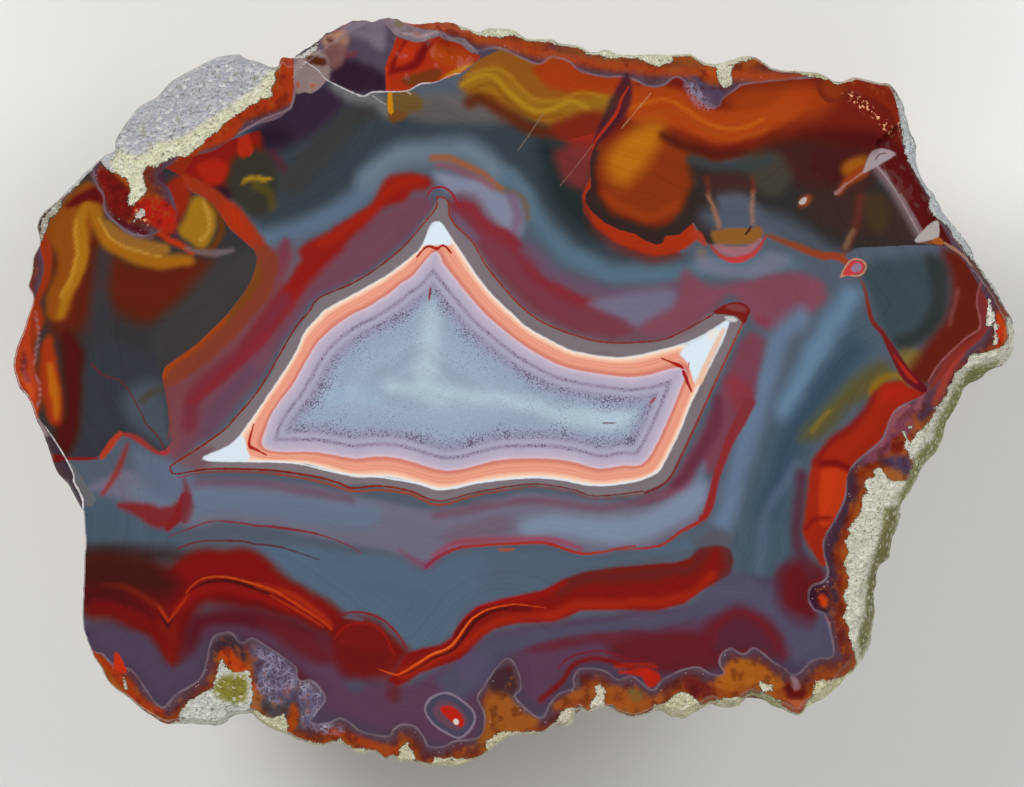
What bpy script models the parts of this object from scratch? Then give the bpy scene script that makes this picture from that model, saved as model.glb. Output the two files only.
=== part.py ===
# Half of an agate nodule. A flat cut face looks up; below it the natural rind is one
# lumpy, pitted dome that rests on a small flat spot. Crusts of host rock are grown fast
# to it, and three shell-shaped chips have broken out of the rim of the cut.
#
# Frame: metres, +Z up out of the cut face, +X along the longest way across it,
# origin under the middle of the stone on the surface that it rests on.
import math

import bmesh
import bpy
import numpy as np
from mathutils import Vector, noise

# Driving sizes
FACE_WIDTH = 0.110          # widest way across the half, along X
HALF_HEIGHT = 0.033         # resting spot to cut face
TIP_TRIM = 0.0008           # how much of the dome's tip the resting spot takes off
SIDE_POWER = 2.24           # 2 is an elliptic dome, more is fuller in the sides
RIM_DROP = 0.0012           # the widest line lies this far under the cut face
SHELF_SLOPE = 1.05          # and further down where the rock slopes out past the cut

# Relief of the rind, about the smooth dome
SWELL_SIZE = 0.030          # broad swells
SWELL_DEPTH = 0.0026
LUMP_SIZE = 0.0105          # rounded lumps
LUMP_DEPTH = 0.0019
ROCK_STAND = 0.0009         # the host rock stands this far out of the rind beside it
LEDGE_SIZE = 0.0085         # steps in the host rock
LEDGE_DEPTH = 0.0022
LEDGE_STEPS = 3.0
PIT_COUNT = 46
PIT_REACH = (0.0032, 0.0058)
PIT_DEPTH = (0.0007, 0.0017)
PIT_FLOOR = 0.35            # share of a pit's reach that is its flat floor
PIT_HEIGHTS = (-0.85, -0.10)
PIT_SEED = 11
RELIEF_MEAN = 0.0019        # so that it goes in and out about the dome by like amounts
RELIEF_START = 0.012        # the relief has its full depth this far under the rim
TIP_CALM = 0.7              # share of the relief that fades out towards the tip
INWARD_LIFT = 1.6           # the relief's way in rises this much more than it runs

# Fineness of the loft
RIM_POINTS = 212
DOME_RINGS = 19
BOTTOM_RING = 0.20          # the last ring's share of the rim, inside the resting spot
RING_CROWDING = 0.92        # under 1 sets the rings further apart near the rim
ROUNDING = 11.0             # rim points over which the lowest rings lose the rim's bays

# The outline is read by eye in the pixels of a 1024 x 787 view straight down on the
# cut face. Each entry is x, y and shelf: how many pixels the cut face stops short.
OUTLINE_LEFT = 12
OUTLINE_RIGHT = 1017
OUTLINE_TOP = 15
OUTLINE_BOTTOM = 767
RIM = [
    (114, 149, 2), (117, 134, 3), (137, 107, 4), (166, 83, 4), (197, 65, 5), (234, 53, 5),
    (258, 60, 4), (277, 67, 2), (294, 55, 12), (318, 36, 24), (348, 19, 30), (383, 15, 32),
    (422, 21, 24), (439, 19, 16), (470, 28, 6), (500, 27, 3), (523, 36, 3), (560, 42, 3),
    (592, 51, 3), (606, 48, 3), (640, 54, 3), (690, 52, 3), (712, 63, 3), (744, 55, 3),
    (777, 68, 3), (817, 72, 3), (838, 82, 2), (856, 76, 3), (889, 82, 3), (905, 102, 7),
    (918, 150, 12), (925, 179, 9), (944, 209, 11), (967, 240, 10), (1004, 301, 8),
    (1017, 334, 9), (1014, 354, 14), (994, 369, 13), (975, 384, 19), (957, 406, 17),
    (948, 433, 28), (940, 454, 23), (922, 472, 12), (905, 500, 10), (902, 520, 13),
    (892, 556, 17), (879, 571, 15), (876, 600, 17), (876, 622, 17), (869, 652, 15),
    (848, 679, 12), (812, 706, 9), (799, 717, 8), (773, 707, 8), (750, 697, 7),
    (734, 709, 9), (712, 704, 8), (683, 720, 10), (660, 711, 6), (634, 719, 5),
    (609, 709, 4), (588, 714, 4), (572, 728, 5), (558, 726, 3), (540, 735, 3),
    (505, 740, 3), (482, 758, 3), (458, 767, 3), (419, 765, 4), (380, 760, 3),
    (341, 746, 3), (321, 748, 3), (286, 735, 4), (250, 713, 4), (230, 720, 5),
    (199, 726, 7), (160, 722, 5), (131, 702, 3), (106, 681, 2), (90, 652, 2),
    (82, 620, 2), (83, 566, 2), (83, 517, 2), (66, 485, 3), (47, 450, 3), (26, 397, 3),
    (12, 363, 3), (23, 326, 3), (32, 296, 2), (28, 284, 2), (30, 262, 2), (38, 243, 2),
    (37, 226, 2), (43, 211, 2), (78, 177, 4), (106, 153, 1),
]

# Where host rock clings to the rind: x, y in the same pixels, then the middle's depth
# under the cut face and the reach, in metres
ROCK_PATCHES = [
    (170, 105, 0.006, 0.013), (235, 72, 0.004, 0.010), (940, 440, 0.005, 0.010),
    (895, 540, 0.009, 0.013), (868, 645, 0.006, 0.011), (1000, 355, 0.003, 0.007),
    (215, 718, 0.004, 0.009), (680, 712, 0.003, 0.007), (385, 755, 0.003, 0.006),
    (640, 640, 0.026, 0.010), (250, 330, 0.024, 0.009),
]
ROCK_EDGE = (0.55, 1.35)    # shares of a patch's reach between which it thins out

# Chips are scoops by a sphere: its centre over the face in pixels, the radius of the
# round bite that it takes in the face and its height over the face, in metres
CHIPS = {
    "chip_top": (379, -22, 0.0130, 0.0205),
    "chip_left": (-82, 539, 0.0187, 0.0180),
    "chip_right": (1013, 132, 0.0136, 0.0300),
}
CUTTER_SEGMENTS = 72
CUTTER_RINGS = 48
SHARP_ANGLE = 35            # degrees over which an edge is shaded sharp

PIXEL = FACE_WIDTH / (OUTLINE_RIGHT - OUTLINE_LEFT)
MIDDLE_X = (OUTLINE_LEFT + OUTLINE_RIGHT) / 2
MIDDLE_Y = (OUTLINE_TOP + OUTLINE_BOTTOM) / 2
DOME_RADII = np.array((0.5 * FACE_WIDTH, 0.5 * PIXEL * (OUTLINE_BOTTOM - OUTLINE_TOP),
                       HALF_HEIGHT))


def to_metres(x, y):
    return np.array(((x - MIDDLE_X) * PIXEL, (MIDDLE_Y - y) * PIXEL))


def smooth_step(low, high, value):
    share = np.clip((value - low) / (high - low), 0.0, 1.0)
    return share * share * (3.0 - 2.0 * share)


def rim_curve():
    """The outline and its shelf, evenly spaced along a smooth closed curve."""
    knots = np.array([(*to_metres(x, y), shelf * PIXEL) for x, y, shelf in RIM])
    before = np.roll(knots, 1, axis=0)
    after = np.roll(knots, -1, axis=0)
    beyond = np.roll(knots, -2, axis=0)
    fine = []
    for t in np.linspace(0.0, 1.0, 12, endpoint=False):
        fine.append(0.5 * (2.0 * knots + (after - before) * t
                           + (2.0 * before - 5.0 * knots + 4.0 * after - beyond) * t ** 2
                           + (3.0 * knots - before - 3.0 * after + beyond) * t ** 3))
    fine = np.stack(fine, axis=1).reshape(-1, 3)
    closed = np.vstack([fine, fine[:1]])
    along = np.concatenate([[0.0], np.cumsum(np.hypot(*np.diff(closed[:, :2], axis=0).T))])
    places = np.linspace(0.0, along[-1], RIM_POINTS, endpoint=False)
    return np.stack([np.interp(places, along, closed[:, k]) for k in range(3)], axis=1)


def inward_normals(ring):
    """Unit normals of a ring that runs clockwise, pointing into the stone."""
    run = np.roll(ring, -1, axis=0) - np.roll(ring, 1, axis=0)
    normal = np.stack([run[:, 1], -run[:, 0]], axis=1)
    return normal / np.linalg.norm(normal, axis=1)[:, None]


def rounder(ring, spread):
    """The same ring with its small bays and bumps smoothed away along its length."""
    steps = np.arange(RIM_POINTS)
    steps = np.minimum(steps, RIM_POINTS - steps)
    weight = np.exp(-0.5 * (steps / max(spread, 0.05)) ** 2)
    weight = np.fft.fft(weight / weight.sum())
    return np.stack([np.fft.ifft(np.fft.fft(side) * weight).real for side in ring.T], axis=1)


def rock_share(point):
    """1 in the middle of a patch of host rock, 0 away from all of them."""
    share = 0.0
    for px, py, below, reach in ROCK_PATCHES:
        middle = np.array((*to_metres(px, py), HALF_HEIGHT - below))
        distance = np.linalg.norm(point - middle) / reach
        share = max(share, 1.0 - float(smooth_step(*ROCK_EDGE, distance)))
    return share


def ledge(value):
    """Turns a slow wave into flat steps with steep risers."""
    level = math.floor(value * LEDGE_STEPS)
    part = value * LEDGE_STEPS - level
    return (level + float(smooth_step(0.35, 0.65, part))) / LEDGE_STEPS


def pit_places():
    """Middle, reach and depth of each pit, spread over the dome by a fixed seed."""
    draw = np.random.default_rng(PIT_SEED)
    pits = []
    for _ in range(PIT_COUNT):
        turn = draw.uniform(0.0, 2.0 * math.pi)
        rise = draw.uniform(*PIT_HEIGHTS)
        flat = math.sqrt(1.0 - rise * rise)
        way = np.array((flat * math.cos(turn), flat * math.sin(turn), rise))
        middle = np.array((0.0, 0.0, HALF_HEIGHT)) + way * DOME_RADII
        pits.append((middle, draw.uniform(*PIT_REACH), draw.uniform(*PIT_DEPTH)))
    return pits


def wave(point, size, start):
    """A slow wave through the stone, from 0 to 1."""
    return 0.5 + 0.5 * noise.noise(Vector(point) / size + Vector(start))


def relief(point, pits):
    """How far in from the smooth dome, in metres, the rind lies at this place."""
    rock = rock_share(point)
    from_lump = min(1.0, noise.voronoi(Vector(point) / LUMP_SIZE)[0][0])
    depth = SWELL_DEPTH * wave(point, SWELL_SIZE, (3.1, 0.4, 1.7))
    depth += (1.0 - rock) * (ROCK_STAND + LUMP_DEPTH * from_lump ** 2)
    depth += rock * LEDGE_DEPTH * ledge(wave(point, LEDGE_SIZE, (7.3, 2.2, 5.9)))
    for middle, reach, pit_depth in pits:
        across = np.linalg.norm(point - middle)
        depth += pit_depth * (1.0 - float(smooth_step(PIT_FLOOR * reach, reach, across)))
    return depth - RELIEF_MEAN


def dome_rings():
    """Rings of points from the edge of the cut face down to the dome's tip."""
    rim = rim_curve()
    outline = rim[:, :2]
    shelf = rim[:, 2:]
    pits = pit_places()
    drop = RIM_DROP + SHELF_SLOPE * shelf[:, 0]
    face_edge = outline + inward_normals(outline) * shelf
    rings = [np.column_stack([face_edge, np.full(RIM_POINTS, HALF_HEIGHT)]),
             np.column_stack([outline, HALF_HEIGHT - drop])]
    tip = outline.mean(axis=0)
    last = math.acos(BOTTOM_RING)
    for k in range(1, DOME_RINGS):
        turn = last * (k / (DOME_RINGS - 1)) ** RING_CROWDING
        spread = math.cos(turn) ** (2.0 / SIDE_POWER)
        fall = math.sin(turn) ** (2.0 / SIDE_POWER)
        flat = tip + (rounder(outline, ROUNDING * fall) - tip) * spread
        height = (HALF_HEIGHT - drop) - (HALF_HEIGHT - drop + TIP_TRIM) * fall
        ring = np.column_stack([flat, height])
        strength = smooth_step(0.0, RELIEF_START, HALF_HEIGHT - drop - height)
        strength *= 1.0 - TIP_CALM * smooth_step(0.75, 1.0, fall)
        inward = (np.array((*tip, HALF_HEIGHT)) - ring) * (1.0, 1.0, INWARD_LIFT)
        inward /= np.linalg.norm(inward, axis=1)[:, None]
        depth = np.array([relief(point, pits) for point in ring])
        rings.append(ring + inward * (depth * strength)[:, None])
    return rings


def loft(rings, name):
    """One closed body: the rings joined by faces, and a face over each end."""
    shape = bmesh.new()
    rows = [[shape.verts.new(point) for point in ring] for ring in rings]
    for upper, lower in zip(rows, rows[1:]):
        for i in range(RIM_POINTS):
            j = (i + 1) % RIM_POINTS
            shape.faces.new((upper[i], upper[j], lower[j], lower[i]))
    shape.faces.new(list(reversed(rows[0])))
    shape.faces.new(rows[-1])
    bmesh.ops.recalc_face_normals(shape, faces=shape.faces)
    mesh = bpy.data.meshes.new(name)
    shape.to_mesh(mesh)
    shape.free()
    return bpy.data.objects.new(name, mesh)


def grind_resting_spot(stone):
    """Takes off all that hangs below the surface it rests on, and closes the cut."""
    shape = bmesh.new()
    shape.from_mesh(stone.data)
    everything = shape.verts[:] + shape.edges[:] + shape.faces[:]
    cut = bmesh.ops.bisect_plane(shape, geom=everything, dist=1e-7, plane_co=(0, 0, 0),
                                 plane_no=(0, 0, -1), clear_outer=True)
    loop = [part for part in cut["geom_cut"] if isinstance(part, bmesh.types.BMEdge)]
    bmesh.ops.edgeloop_fill(shape, edges=loop)
    bmesh.ops.dissolve_degenerate(shape, dist=2e-5, edges=shape.edges)
    bmesh.ops.recalc_face_normals(shape, faces=shape.faces)
    shape.to_mesh(stone.data)
    shape.free()


def add_chip_cutter(name, px, py, reach, lift, cutters):
    """A sphere whose lower cap scoops a shell-shaped chip out of the rim."""
    x, y = to_metres(px, py)
    bpy.ops.mesh.primitive_uv_sphere_add(segments=CUTTER_SEGMENTS, ring_count=CUTTER_RINGS,
                                         radius=math.hypot(reach, lift),
                                         location=(x, y, HALF_HEIGHT + lift),
                                         rotation=(math.radians(90), 0, math.radians(17)))
    cutter = bpy.context.object
    cutter.name = name
    cutter.display_type = "WIRE"
    cutter.hide_render = True
    for home in list(cutter.users_collection):
        home.objects.unlink(cutter)
    cutters.objects.link(cutter)
    return cutter


def agate_material():
    material = bpy.data.materials.new("agate")
    material.use_nodes = True
    shader = material.node_tree.nodes["Principled BSDF"]
    shader.inputs["Base Color"].default_value = (0.16, 0.05, 0.035, 1.0)
    shader.inputs["Roughness"].default_value = 0.35
    shader.inputs["Metallic"].default_value = 0.0
    return material


def build():
    for leftover in list(bpy.data.objects):
        bpy.data.objects.remove(leftover, do_unlink=True)
    parts = bpy.data.collections.new("agate")
    cutters = bpy.data.collections.new("cutters")
    bpy.context.scene.collection.children.link(parts)
    bpy.context.scene.collection.children.link(cutters)

    stone = loft(dome_rings(), "agate_half")
    parts.objects.link(stone)
    grind_resting_spot(stone)
    stone.data.materials.append(agate_material())
    for name, (px, py, reach, lift) in CHIPS.items():
        cut = stone.modifiers.new(name, "BOOLEAN")
        cut.operation = "DIFFERENCE"
        cut.solver = "EXACT"
        cut.object = add_chip_cutter(name, px, py, reach, lift, cutters)
    stone.data.shade_smooth()
    stone.data.set_sharp_from_angle(angle=math.radians(SHARP_ANGLE))


build()
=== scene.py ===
# Looks of one polished half of an agate nodule. The cut face is flat; its bands, lines and
# stains are marks read in the pixels of a 1024 x 787 view straight down on it.
import math

import bmesh
import bpy
import numpy as np
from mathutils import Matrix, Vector, noise
from mathutils.geometry import delaunay_2d_cdt
from mathutils.kdtree import KDTree


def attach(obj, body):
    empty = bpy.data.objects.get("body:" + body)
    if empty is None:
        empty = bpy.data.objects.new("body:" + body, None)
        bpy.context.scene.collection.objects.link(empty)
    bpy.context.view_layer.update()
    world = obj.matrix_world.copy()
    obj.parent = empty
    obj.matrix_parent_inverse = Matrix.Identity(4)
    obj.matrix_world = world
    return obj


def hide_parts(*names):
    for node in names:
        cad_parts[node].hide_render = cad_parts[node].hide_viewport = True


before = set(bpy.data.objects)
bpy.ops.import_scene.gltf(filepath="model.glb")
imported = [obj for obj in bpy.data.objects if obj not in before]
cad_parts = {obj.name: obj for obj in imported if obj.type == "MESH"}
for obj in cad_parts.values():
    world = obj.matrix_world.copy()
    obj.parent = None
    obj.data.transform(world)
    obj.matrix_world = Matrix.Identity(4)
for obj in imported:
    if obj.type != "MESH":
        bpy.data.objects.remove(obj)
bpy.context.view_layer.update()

# the stone's shape: metres, and pixels of the view where a name or note says so
stone = {
    "faceWidth": 0.110,             # widest way across the half, along X
    "height": 0.033,                # resting spot to cut face
    "viewLeft": 12, "viewRight": 1017, "viewTop": 15, "viewBottom": 767,
    "viewWidth": 1024, "viewHeight": 787,
    "rimStep": 2.4,                 # pixels between points along the rim
    "faceStep": 3.08,               # pixels between points over the cut face
    "rimDrop": 0.0012,              # the widest line lies this far under the cut face
    "shelfSlope": 1.05,             # and further down where the rock slopes out past the cut
    "tipTrim": 0.0008, "sidePower": 2.24, "bottomRing": 0.20,
    "ringCrowding": (1.25, 0.33),   # the upper rings lie closer; how far that eases off below
    "rounding": 0.052,              # share of the rim over which the lowest rings are smoothed
    "ringCounts": (8, 16, 20),      # rings with all, half and a quarter of the rim's points
    "swell": (0.030, 0.0026), "lump": (0.0105, 0.0019), "ledge": (0.0085, 0.0022),
    "knob": (0.0034, 0.00055), "grit": (0.0009, 0.00022),
    "rockStand": 0.0009, "reliefMean": 0.0019, "reliefStart": 0.012,
    "tipCalm": 0.7, "inwardLift": 1.6,
    "pits": (46, 11), "pitReach": (0.0032, 0.0058), "pitDepth": (0.0007, 0.0017),
    "pitHeights": (-0.85, -0.10), "pitFloor": 0.35,
    # sums of noises: strength, size and seed of each; in pixels for the rim, metres for the slope
    "rimJags": ((0.55, 5.0, 3.7), (0.9, 13.0, 8.1)), "rimPush": 0.5,
    "slopeGrit": ((0.00016, 9.0, 21.3), (0.00010, 3.6, 4.4)),
    "rockEdge": (0.55, 1.35),
    # x, y in pixels, then depth under the cut face and reach in metres
    "rockPatches": ((170, 105, .006, .013), (235, 72, .004, .010), (940, 440, .005, .010),
                    (895, 540, .009, .013), (868, 645, .006, .011), (1000, 355, .003, .007),
                    (215, 718, .004, .009), (680, 712, .003, .007), (385, 755, .003, .006),
                    (640, 640, .026, .010), (250, 330, .024, .009)),
    # clockwise from the left; the third number, where there is one, is the shelf: how many
    # pixels the cut face stops short of the outline there
    "outline":
    "114,151,2 114,144 116,136,3 126,121 138,106,4 156,95 167,83,4 182,73 197,65,5 216,56 235,53,5 "
    "245,57 257,60,4 268,65 275,68 278,66,2 281,56 293,56,12 295,53 306,46 318,36,24 326,30 339,24 "
    "349,19,30 361,17 373,19 383,15,32 394,16 407,20 422,21,24 439,19,16 454,22 469,27,6 477,31 "
    "490,27 500,27,3 514,29 525,36,3 535,38 551,38 560,42,3 580,45 594,52,3 605,48,3 616,52 630,54,3 "
    "651,53 666,54 676,53 691,53,3 698,57 712,63,3 730,59 744,55,3 756,56 767,63 777,68,3 800,70 "
    "818,72,3 829,76 838,82,2 849,78 856,76,3 878,81 889,82,3 896,88 904,101,7 908,116 912,132 "
    "918,145,12 918,158 921,172 928,185,9 936,194 945,211,11 956,225 967,239,10 975,252 978,261 "
    "987,273 996,286 1004,301,8 1013,318 1017,331,9 1016,348 1013,356,14 1004,365 992,371,13 981,379 "
    "971,384,19 964,395 956,413,17 948,429,28 942,449,23 928,464 920,478,12 909,496,10 903,508 "
    "902,519,13 897,535 893,550 891,560,17 880,568,15 878,586 876,603,17 877,619,17 874,636 "
    "869,653,15 859,669 848,679,12 836,692 823,701 811,707,9 803,716,8 793,716 785,711 773,707,8 "
    "761,699 750,697,7 740,707 730,709,9 715,706 712,704,8 696,714 682,720,10 669,717 661,711,6 "
    "646,716 633,719,5 618,715 609,709,4 596,711 588,714,4 579,710 576,718 570,727,5 561,728 "
    "558,724,3 546,733 535,735,3 513,737 502,742,3 490,751 482,758,3 472,762 459,767,3 447,767 "
    "427,767 419,765,4 411,763 399,763 393,758 384,761,3 373,753 364,755 353,752 343,746,3 335,744 "
    "321,748,3 306,744 295,740 286,735,4 273,731 260,723 250,713,4 247,715 232,716 227,722,5 219,726 "
    "199,726,7 179,725 166,725,5 153,719 141,711 130,701,3 123,696 115,690 106,681,2 100,669 92,656,2 "
    "86,641 82,624,2 81,608 82,593 83,566,2 84,541 83,517,2 80,509 73,496 65,483,3 56,473 50,458 "
    "45,443,3 40,430 34,418 30,406 25,396,3 18,388 14,376 12,363,3 15,347 21,332,3 25,319 30,306 "
    "32,296,2 27,286,2 30,273 32,256,2 38,243,2 36,226,2 41,213,2 55,201 65,191 78,177,4 90,166 "
    "99,159 106,153,1",
    # chips: the line where the break leaves the cut face, a path that closes its bite outside
    # the stone, its slope at that line, and how fast it levels out, in 1/m
    "chipFade": 0.66,               # share of the line from which the slope dies away
    "chips": {
        "top": ("304,61 318,70 327,80 341,87 356,94 365,96 374,92 385,91 400,91 406,91 413,87 "
                "420,84 436,82 446,78 451,75 461,73 478,58 492,40 500,31",
                "500,0 280,0 285,56", 0.63, 26.0),
        "left": ("38,418 46,427 57,445 70,467 73,479 80,495 82,504 83,517", "60,530 0,430", 0.8, 40.0),
        "right": ("862,173 868,164 879,167 899,197 909,215 920,234 930,241 945,235",
                  "990,190 905,120 880,140", 0.30, 22.0),
    },
}
pixel = stone["faceWidth"] / (stone["viewRight"] - stone["viewLeft"])
middle = np.array(((stone["viewLeft"] + stone["viewRight"]) / 2,
                   (stone["viewTop"] + stone["viewBottom"]) / 2))
faceHeight = stone["height"]


farAway = 99.0      # pixels, for spots that a mark doesn't reach


def readPath(text):
    return np.array([[float(v) for v in spot.split(",")] for spot in text.split()])


def toMetres(spots):
    return (np.asarray(spots, float) - middle) * (pixel, -pixel)


def smoothStep(low, high, value):
    share = np.clip((value - low) / (high - low), 0.0, 1.0)
    return share * share * (3.0 - 2.0 * share)


def smoothPath(knots, step, closed, multiple=1):
    # a Catmull-Rom curve through the knots, then points evenly spaced along it
    if closed:
        before, at, after = np.roll(knots, 1, 0), knots, np.roll(knots, -1, 0)
        beyond = np.roll(knots, -2, 0)
    else:
        full = np.vstack([2 * knots[0] - knots[1], knots, 2 * knots[-1] - knots[-2]])
        before, at, after, beyond = full[:-3], full[1:-2], full[2:-1], full[3:]
    fine = np.stack([0.5 * (2 * at + (after - before) * t
                            + (2 * before - 5 * at + 4 * after - beyond) * t ** 2
                            + (3 * at - before - 3 * after + beyond) * t ** 3)
                     for t in np.linspace(0, 1, 8, endpoint=False)], axis=1)
    fine = fine.reshape(-1, knots.shape[1])
    fine = np.vstack([fine, fine[:1] if closed else knots[-1:]])
    along = np.concatenate([[0], np.cumsum(np.hypot(*np.diff(fine[:, :2], axis=0).T))])
    count = max(2, multiple * round(along[-1] / step / multiple))
    places = np.linspace(0, along[-1], count, endpoint=not closed)
    return np.stack([np.interp(places, along, fine[:, k]) for k in range(fine.shape[1])], axis=1)


def pathField(spots, path, closed):
    # for every spot: distance to the path, side of it (negative inside, if closed), share
    # along it; the path's points lie close together
    tree = KDTree(len(path))
    for i, spot in enumerate(path):
        tree.insert((spot[0], spot[1], 0), i)
    tree.balance()
    near = np.array([tree.find((x, y, 0))[1] for x, y in spots], int)
    count = len(path)
    steps = np.roll(path, -1, 0) - path
    if not closed:
        steps[-1] = steps[-2]
    length = np.maximum(np.hypot(*steps.T), 1e-9)
    begun = np.concatenate([[0], np.cumsum(length)])[:count]
    whole = begun[-1] + (length[-1] if closed else 0)
    way = steps / length[:, None]
    back = np.roll(way, 1, 0)
    if not closed:
        back[0] = way[0]
    at = spots - path[near]
    ahead = np.einsum("ij,ij->i", at, way[near])
    behind = -np.einsum("ij,ij->i", at, back[near])
    if not closed:
        ahead = np.where(near == count - 1, 0, ahead)
        behind = np.where(near == 0, 0, behind)
    before = np.roll(length, 1)[near]
    onAhead = (ahead > 0) & (ahead >= behind)
    onBehind = (behind > 0) & ~onAhead
    slide = np.where(onAhead, np.minimum(ahead, length[near]), 0)
    slide = np.where(onBehind, -np.minimum(behind, before), slide)
    foot = path[near] + np.where(onAhead[:, None], way[near], back[near]) * slide[:, None]
    off = spots - foot
    way2 = np.where(onAhead[:, None], way[near],
                    np.where(onBehind[:, None], back[near], way[near] + back[near]))
    side = np.where(way2[:, 0] * off[:, 1] - way2[:, 1] * off[:, 0] > 0, 1.0, -1.0)
    if closed:
        area = np.sum(path[:, 0] * np.roll(path[:, 1], -1) - np.roll(path[:, 0], -1) * path[:, 1])
        side *= -1 if area > 0 else 1
    return np.hypot(*off.T), side, (begun[near] + slide) / whole


def densePath(knots, step):
    # a closed path with straight runs, cut into short steps
    ends = np.roll(knots, -1, 0)
    runs = [a + (b - a) * np.linspace(0, 1, max(2, round(np.hypot(*(b - a)) / step) + 1))[:-1, None]
            for a, b in zip(knots, ends)]
    return np.vstack(runs)


def noiseField(spots, layers):
    return sum(strength * np.array([noise.noise(Vector((x / size, y / size, seed)))
                                    for x, y in spots]) for strength, size, seed in layers)


# the mesh: a fine sheet for the cut face and its rim, and a loft for the rind below
def rimRing():
    knots = [[float(v) for v in spot.split(",")] for spot in stone["outline"].split()]
    known = [i for i, spot in enumerate(knots) if len(spot) == 3]
    shelves = np.interp(range(len(knots)), known, [knots[i][2] for i in known])
    ring = smoothPath(np.array([[*spot[:2], shelf] for spot, shelf in zip(knots, shelves)]),
                      stone["rimStep"], True, multiple=8)
    run = np.roll(ring[:, :2], -1, 0) - np.roll(ring[:, :2], 1, 0)
    outward = np.stack([run[:, 1], -run[:, 0]], axis=1) / np.hypot(*run.T)[:, None]
    jag = noiseField(ring[:, :2], stone["rimJags"])
    jag *= 0.8 + smoothStep(3, 12, ring[:, 2])      # rougher where the shelf is wide
    ring[:, :2] += outward * (jag - stone["rimPush"])[:, None]
    return ring, -outward


def chipDepths(spots):
    # how deep each chip goes at each spot, in metres, and how far the spot is from its line
    depth, chipped = np.zeros(len(spots)), np.full(len(spots), -farAway)
    for line, bite, slope, levelling in stone["chips"].values():
        edge = smoothPath(readPath(line), 2.4, False)
        loop = densePath(np.vstack([readPath(line), readPath(bite)]), 2.4)
        inside = pathField(spots, loop, True)[1] < 0
        far, _, along = pathField(spots, edge, False)
        run = far * pixel
        slope = slope * (1 - smoothStep(stone["chipFade"], 1, along))
        well = slope * np.minimum(run, slope / levelling / 2) - levelling * np.minimum(
            run, slope / levelling / 2) ** 2
        depth = np.where(inside, np.maximum(depth, well), depth)
        chipped = np.maximum(chipped, np.where(inside, far, -far))
    return depth, chipped


def cutSheet(ring, inward):
    # points of the rim, of the edge of the plane, of the chips' lines and of an even grid
    shelf = np.maximum(ring[:, 2], 1.6)
    faceEdge = ring[:, :2] + inward * shelf[:, None]
    lines = [smoothPath(readPath(chip[0]), 2.4, False) for chip in stone["chips"].values()]
    step = stone["faceStep"]
    xs, ys = np.meshgrid(np.arange(0, stone["viewWidth"], step),
                         np.arange(0, stone["viewHeight"], step * math.sqrt(0.75)))
    xs[1::2] += step / 2
    grid = np.column_stack([xs.ravel(), ys.ravel()])
    far, side, _ = pathField(grid, ring[:, :2], True)
    grid = grid[(side < 0) & (far > 1.5)]
    extra = np.vstack([faceEdge, *lines])
    far, side, _ = pathField(extra, ring[:, :2], True)
    extra = extra[(side < 0) & (far > 1.2)]
    keys = {tuple(k) for k in np.floor(extra / 1.4).astype(int)}
    cells = np.floor(grid / 1.4).astype(int)
    grid = grid[[tuple(c) not in keys for c in cells]]
    spots = np.vstack([ring[:, :2], extra, grid])
    count = len(ring)
    made = delaunay_2d_cdt([Vector(spot) for spot in spots],
                           [(i, (i + 1) % count) for i in range(count)], [], 1, 1e-4)
    return np.array([tuple(v) for v in made[0]]), made[2]


def rockShare(points):
    share = np.zeros(len(points))
    for px, py, below, reach in stone["rockPatches"]:
        spot = np.array((*toMetres((px, py)), faceHeight - below))
        away = np.linalg.norm(points - spot, axis=1) / reach
        share = np.maximum(share, 1 - smoothStep(*stone["rockEdge"], away))
    return share


def wave(point, size, start):
    return 0.5 + 0.5 * noise.noise(Vector(point) / size + Vector(start))


def ledged(value):
    level = np.floor(value * 3)
    return (level + smoothStep(0.35, 0.65, value * 3 - level)) / 3


def relief(points):
    # how far in from the smooth dome the rind lies, in metres
    rock = rockShare(points)
    lump = np.array([min(1.0, noise.voronoi(Vector(p) / stone["lump"][0])[0][0]) for p in points])
    swell = np.array([wave(p, stone["swell"][0], (3.1, 0.4, 1.7)) for p in points])
    step = np.array([wave(p, stone["ledge"][0], (7.3, 2.2, 5.9)) for p in points])
    knob = np.array([min(1.0, noise.voronoi(Vector(p) / stone["knob"][0])[0][0]) for p in points])
    grit = np.array([noise.fractal(Vector(p) / stone["grit"][0], 0.6, 2.0, 3) for p in points])
    depth = stone["swell"][1] * swell + stone["knob"][1] * knob ** 1.5 + stone["grit"][1] * grit
    depth += (1 - rock) * (stone["rockStand"] + stone["lump"][1] * lump ** 2)
    depth += rock * stone["ledge"][1] * ledged(step)
    count, seed = stone["pits"]
    draw = np.random.default_rng(seed)
    radii = np.array((stone["faceWidth"] / 2,
                      pixel * (stone["viewBottom"] - stone["viewTop"]) / 2, stone["height"]))
    for _ in range(count):
        turn = draw.uniform(0, 2 * math.pi)
        rise = draw.uniform(*stone["pitHeights"])
        flat = math.sqrt(1 - rise * rise)
        way = np.array((flat * math.cos(turn), flat * math.sin(turn), rise))
        reach, deep = draw.uniform(*stone["pitReach"]), draw.uniform(*stone["pitDepth"])
        across = np.linalg.norm(points - (0, 0, faceHeight) - way * radii, axis=1)
        depth += deep * (1 - smoothStep(stone["pitFloor"] * reach, reach, across))
    return depth - stone["reliefMean"], rock


def rounder(ring, spread):
    steps = np.arange(len(ring))
    steps = np.minimum(steps, len(ring) - steps) / len(ring)
    weight = np.exp(-0.5 * (steps / max(spread, 1e-4)) ** 2)
    weight = np.fft.fft(weight / weight.sum())
    return np.stack([np.fft.ifft(np.fft.fft(side) * weight).real for side in ring.T], axis=1)


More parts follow.
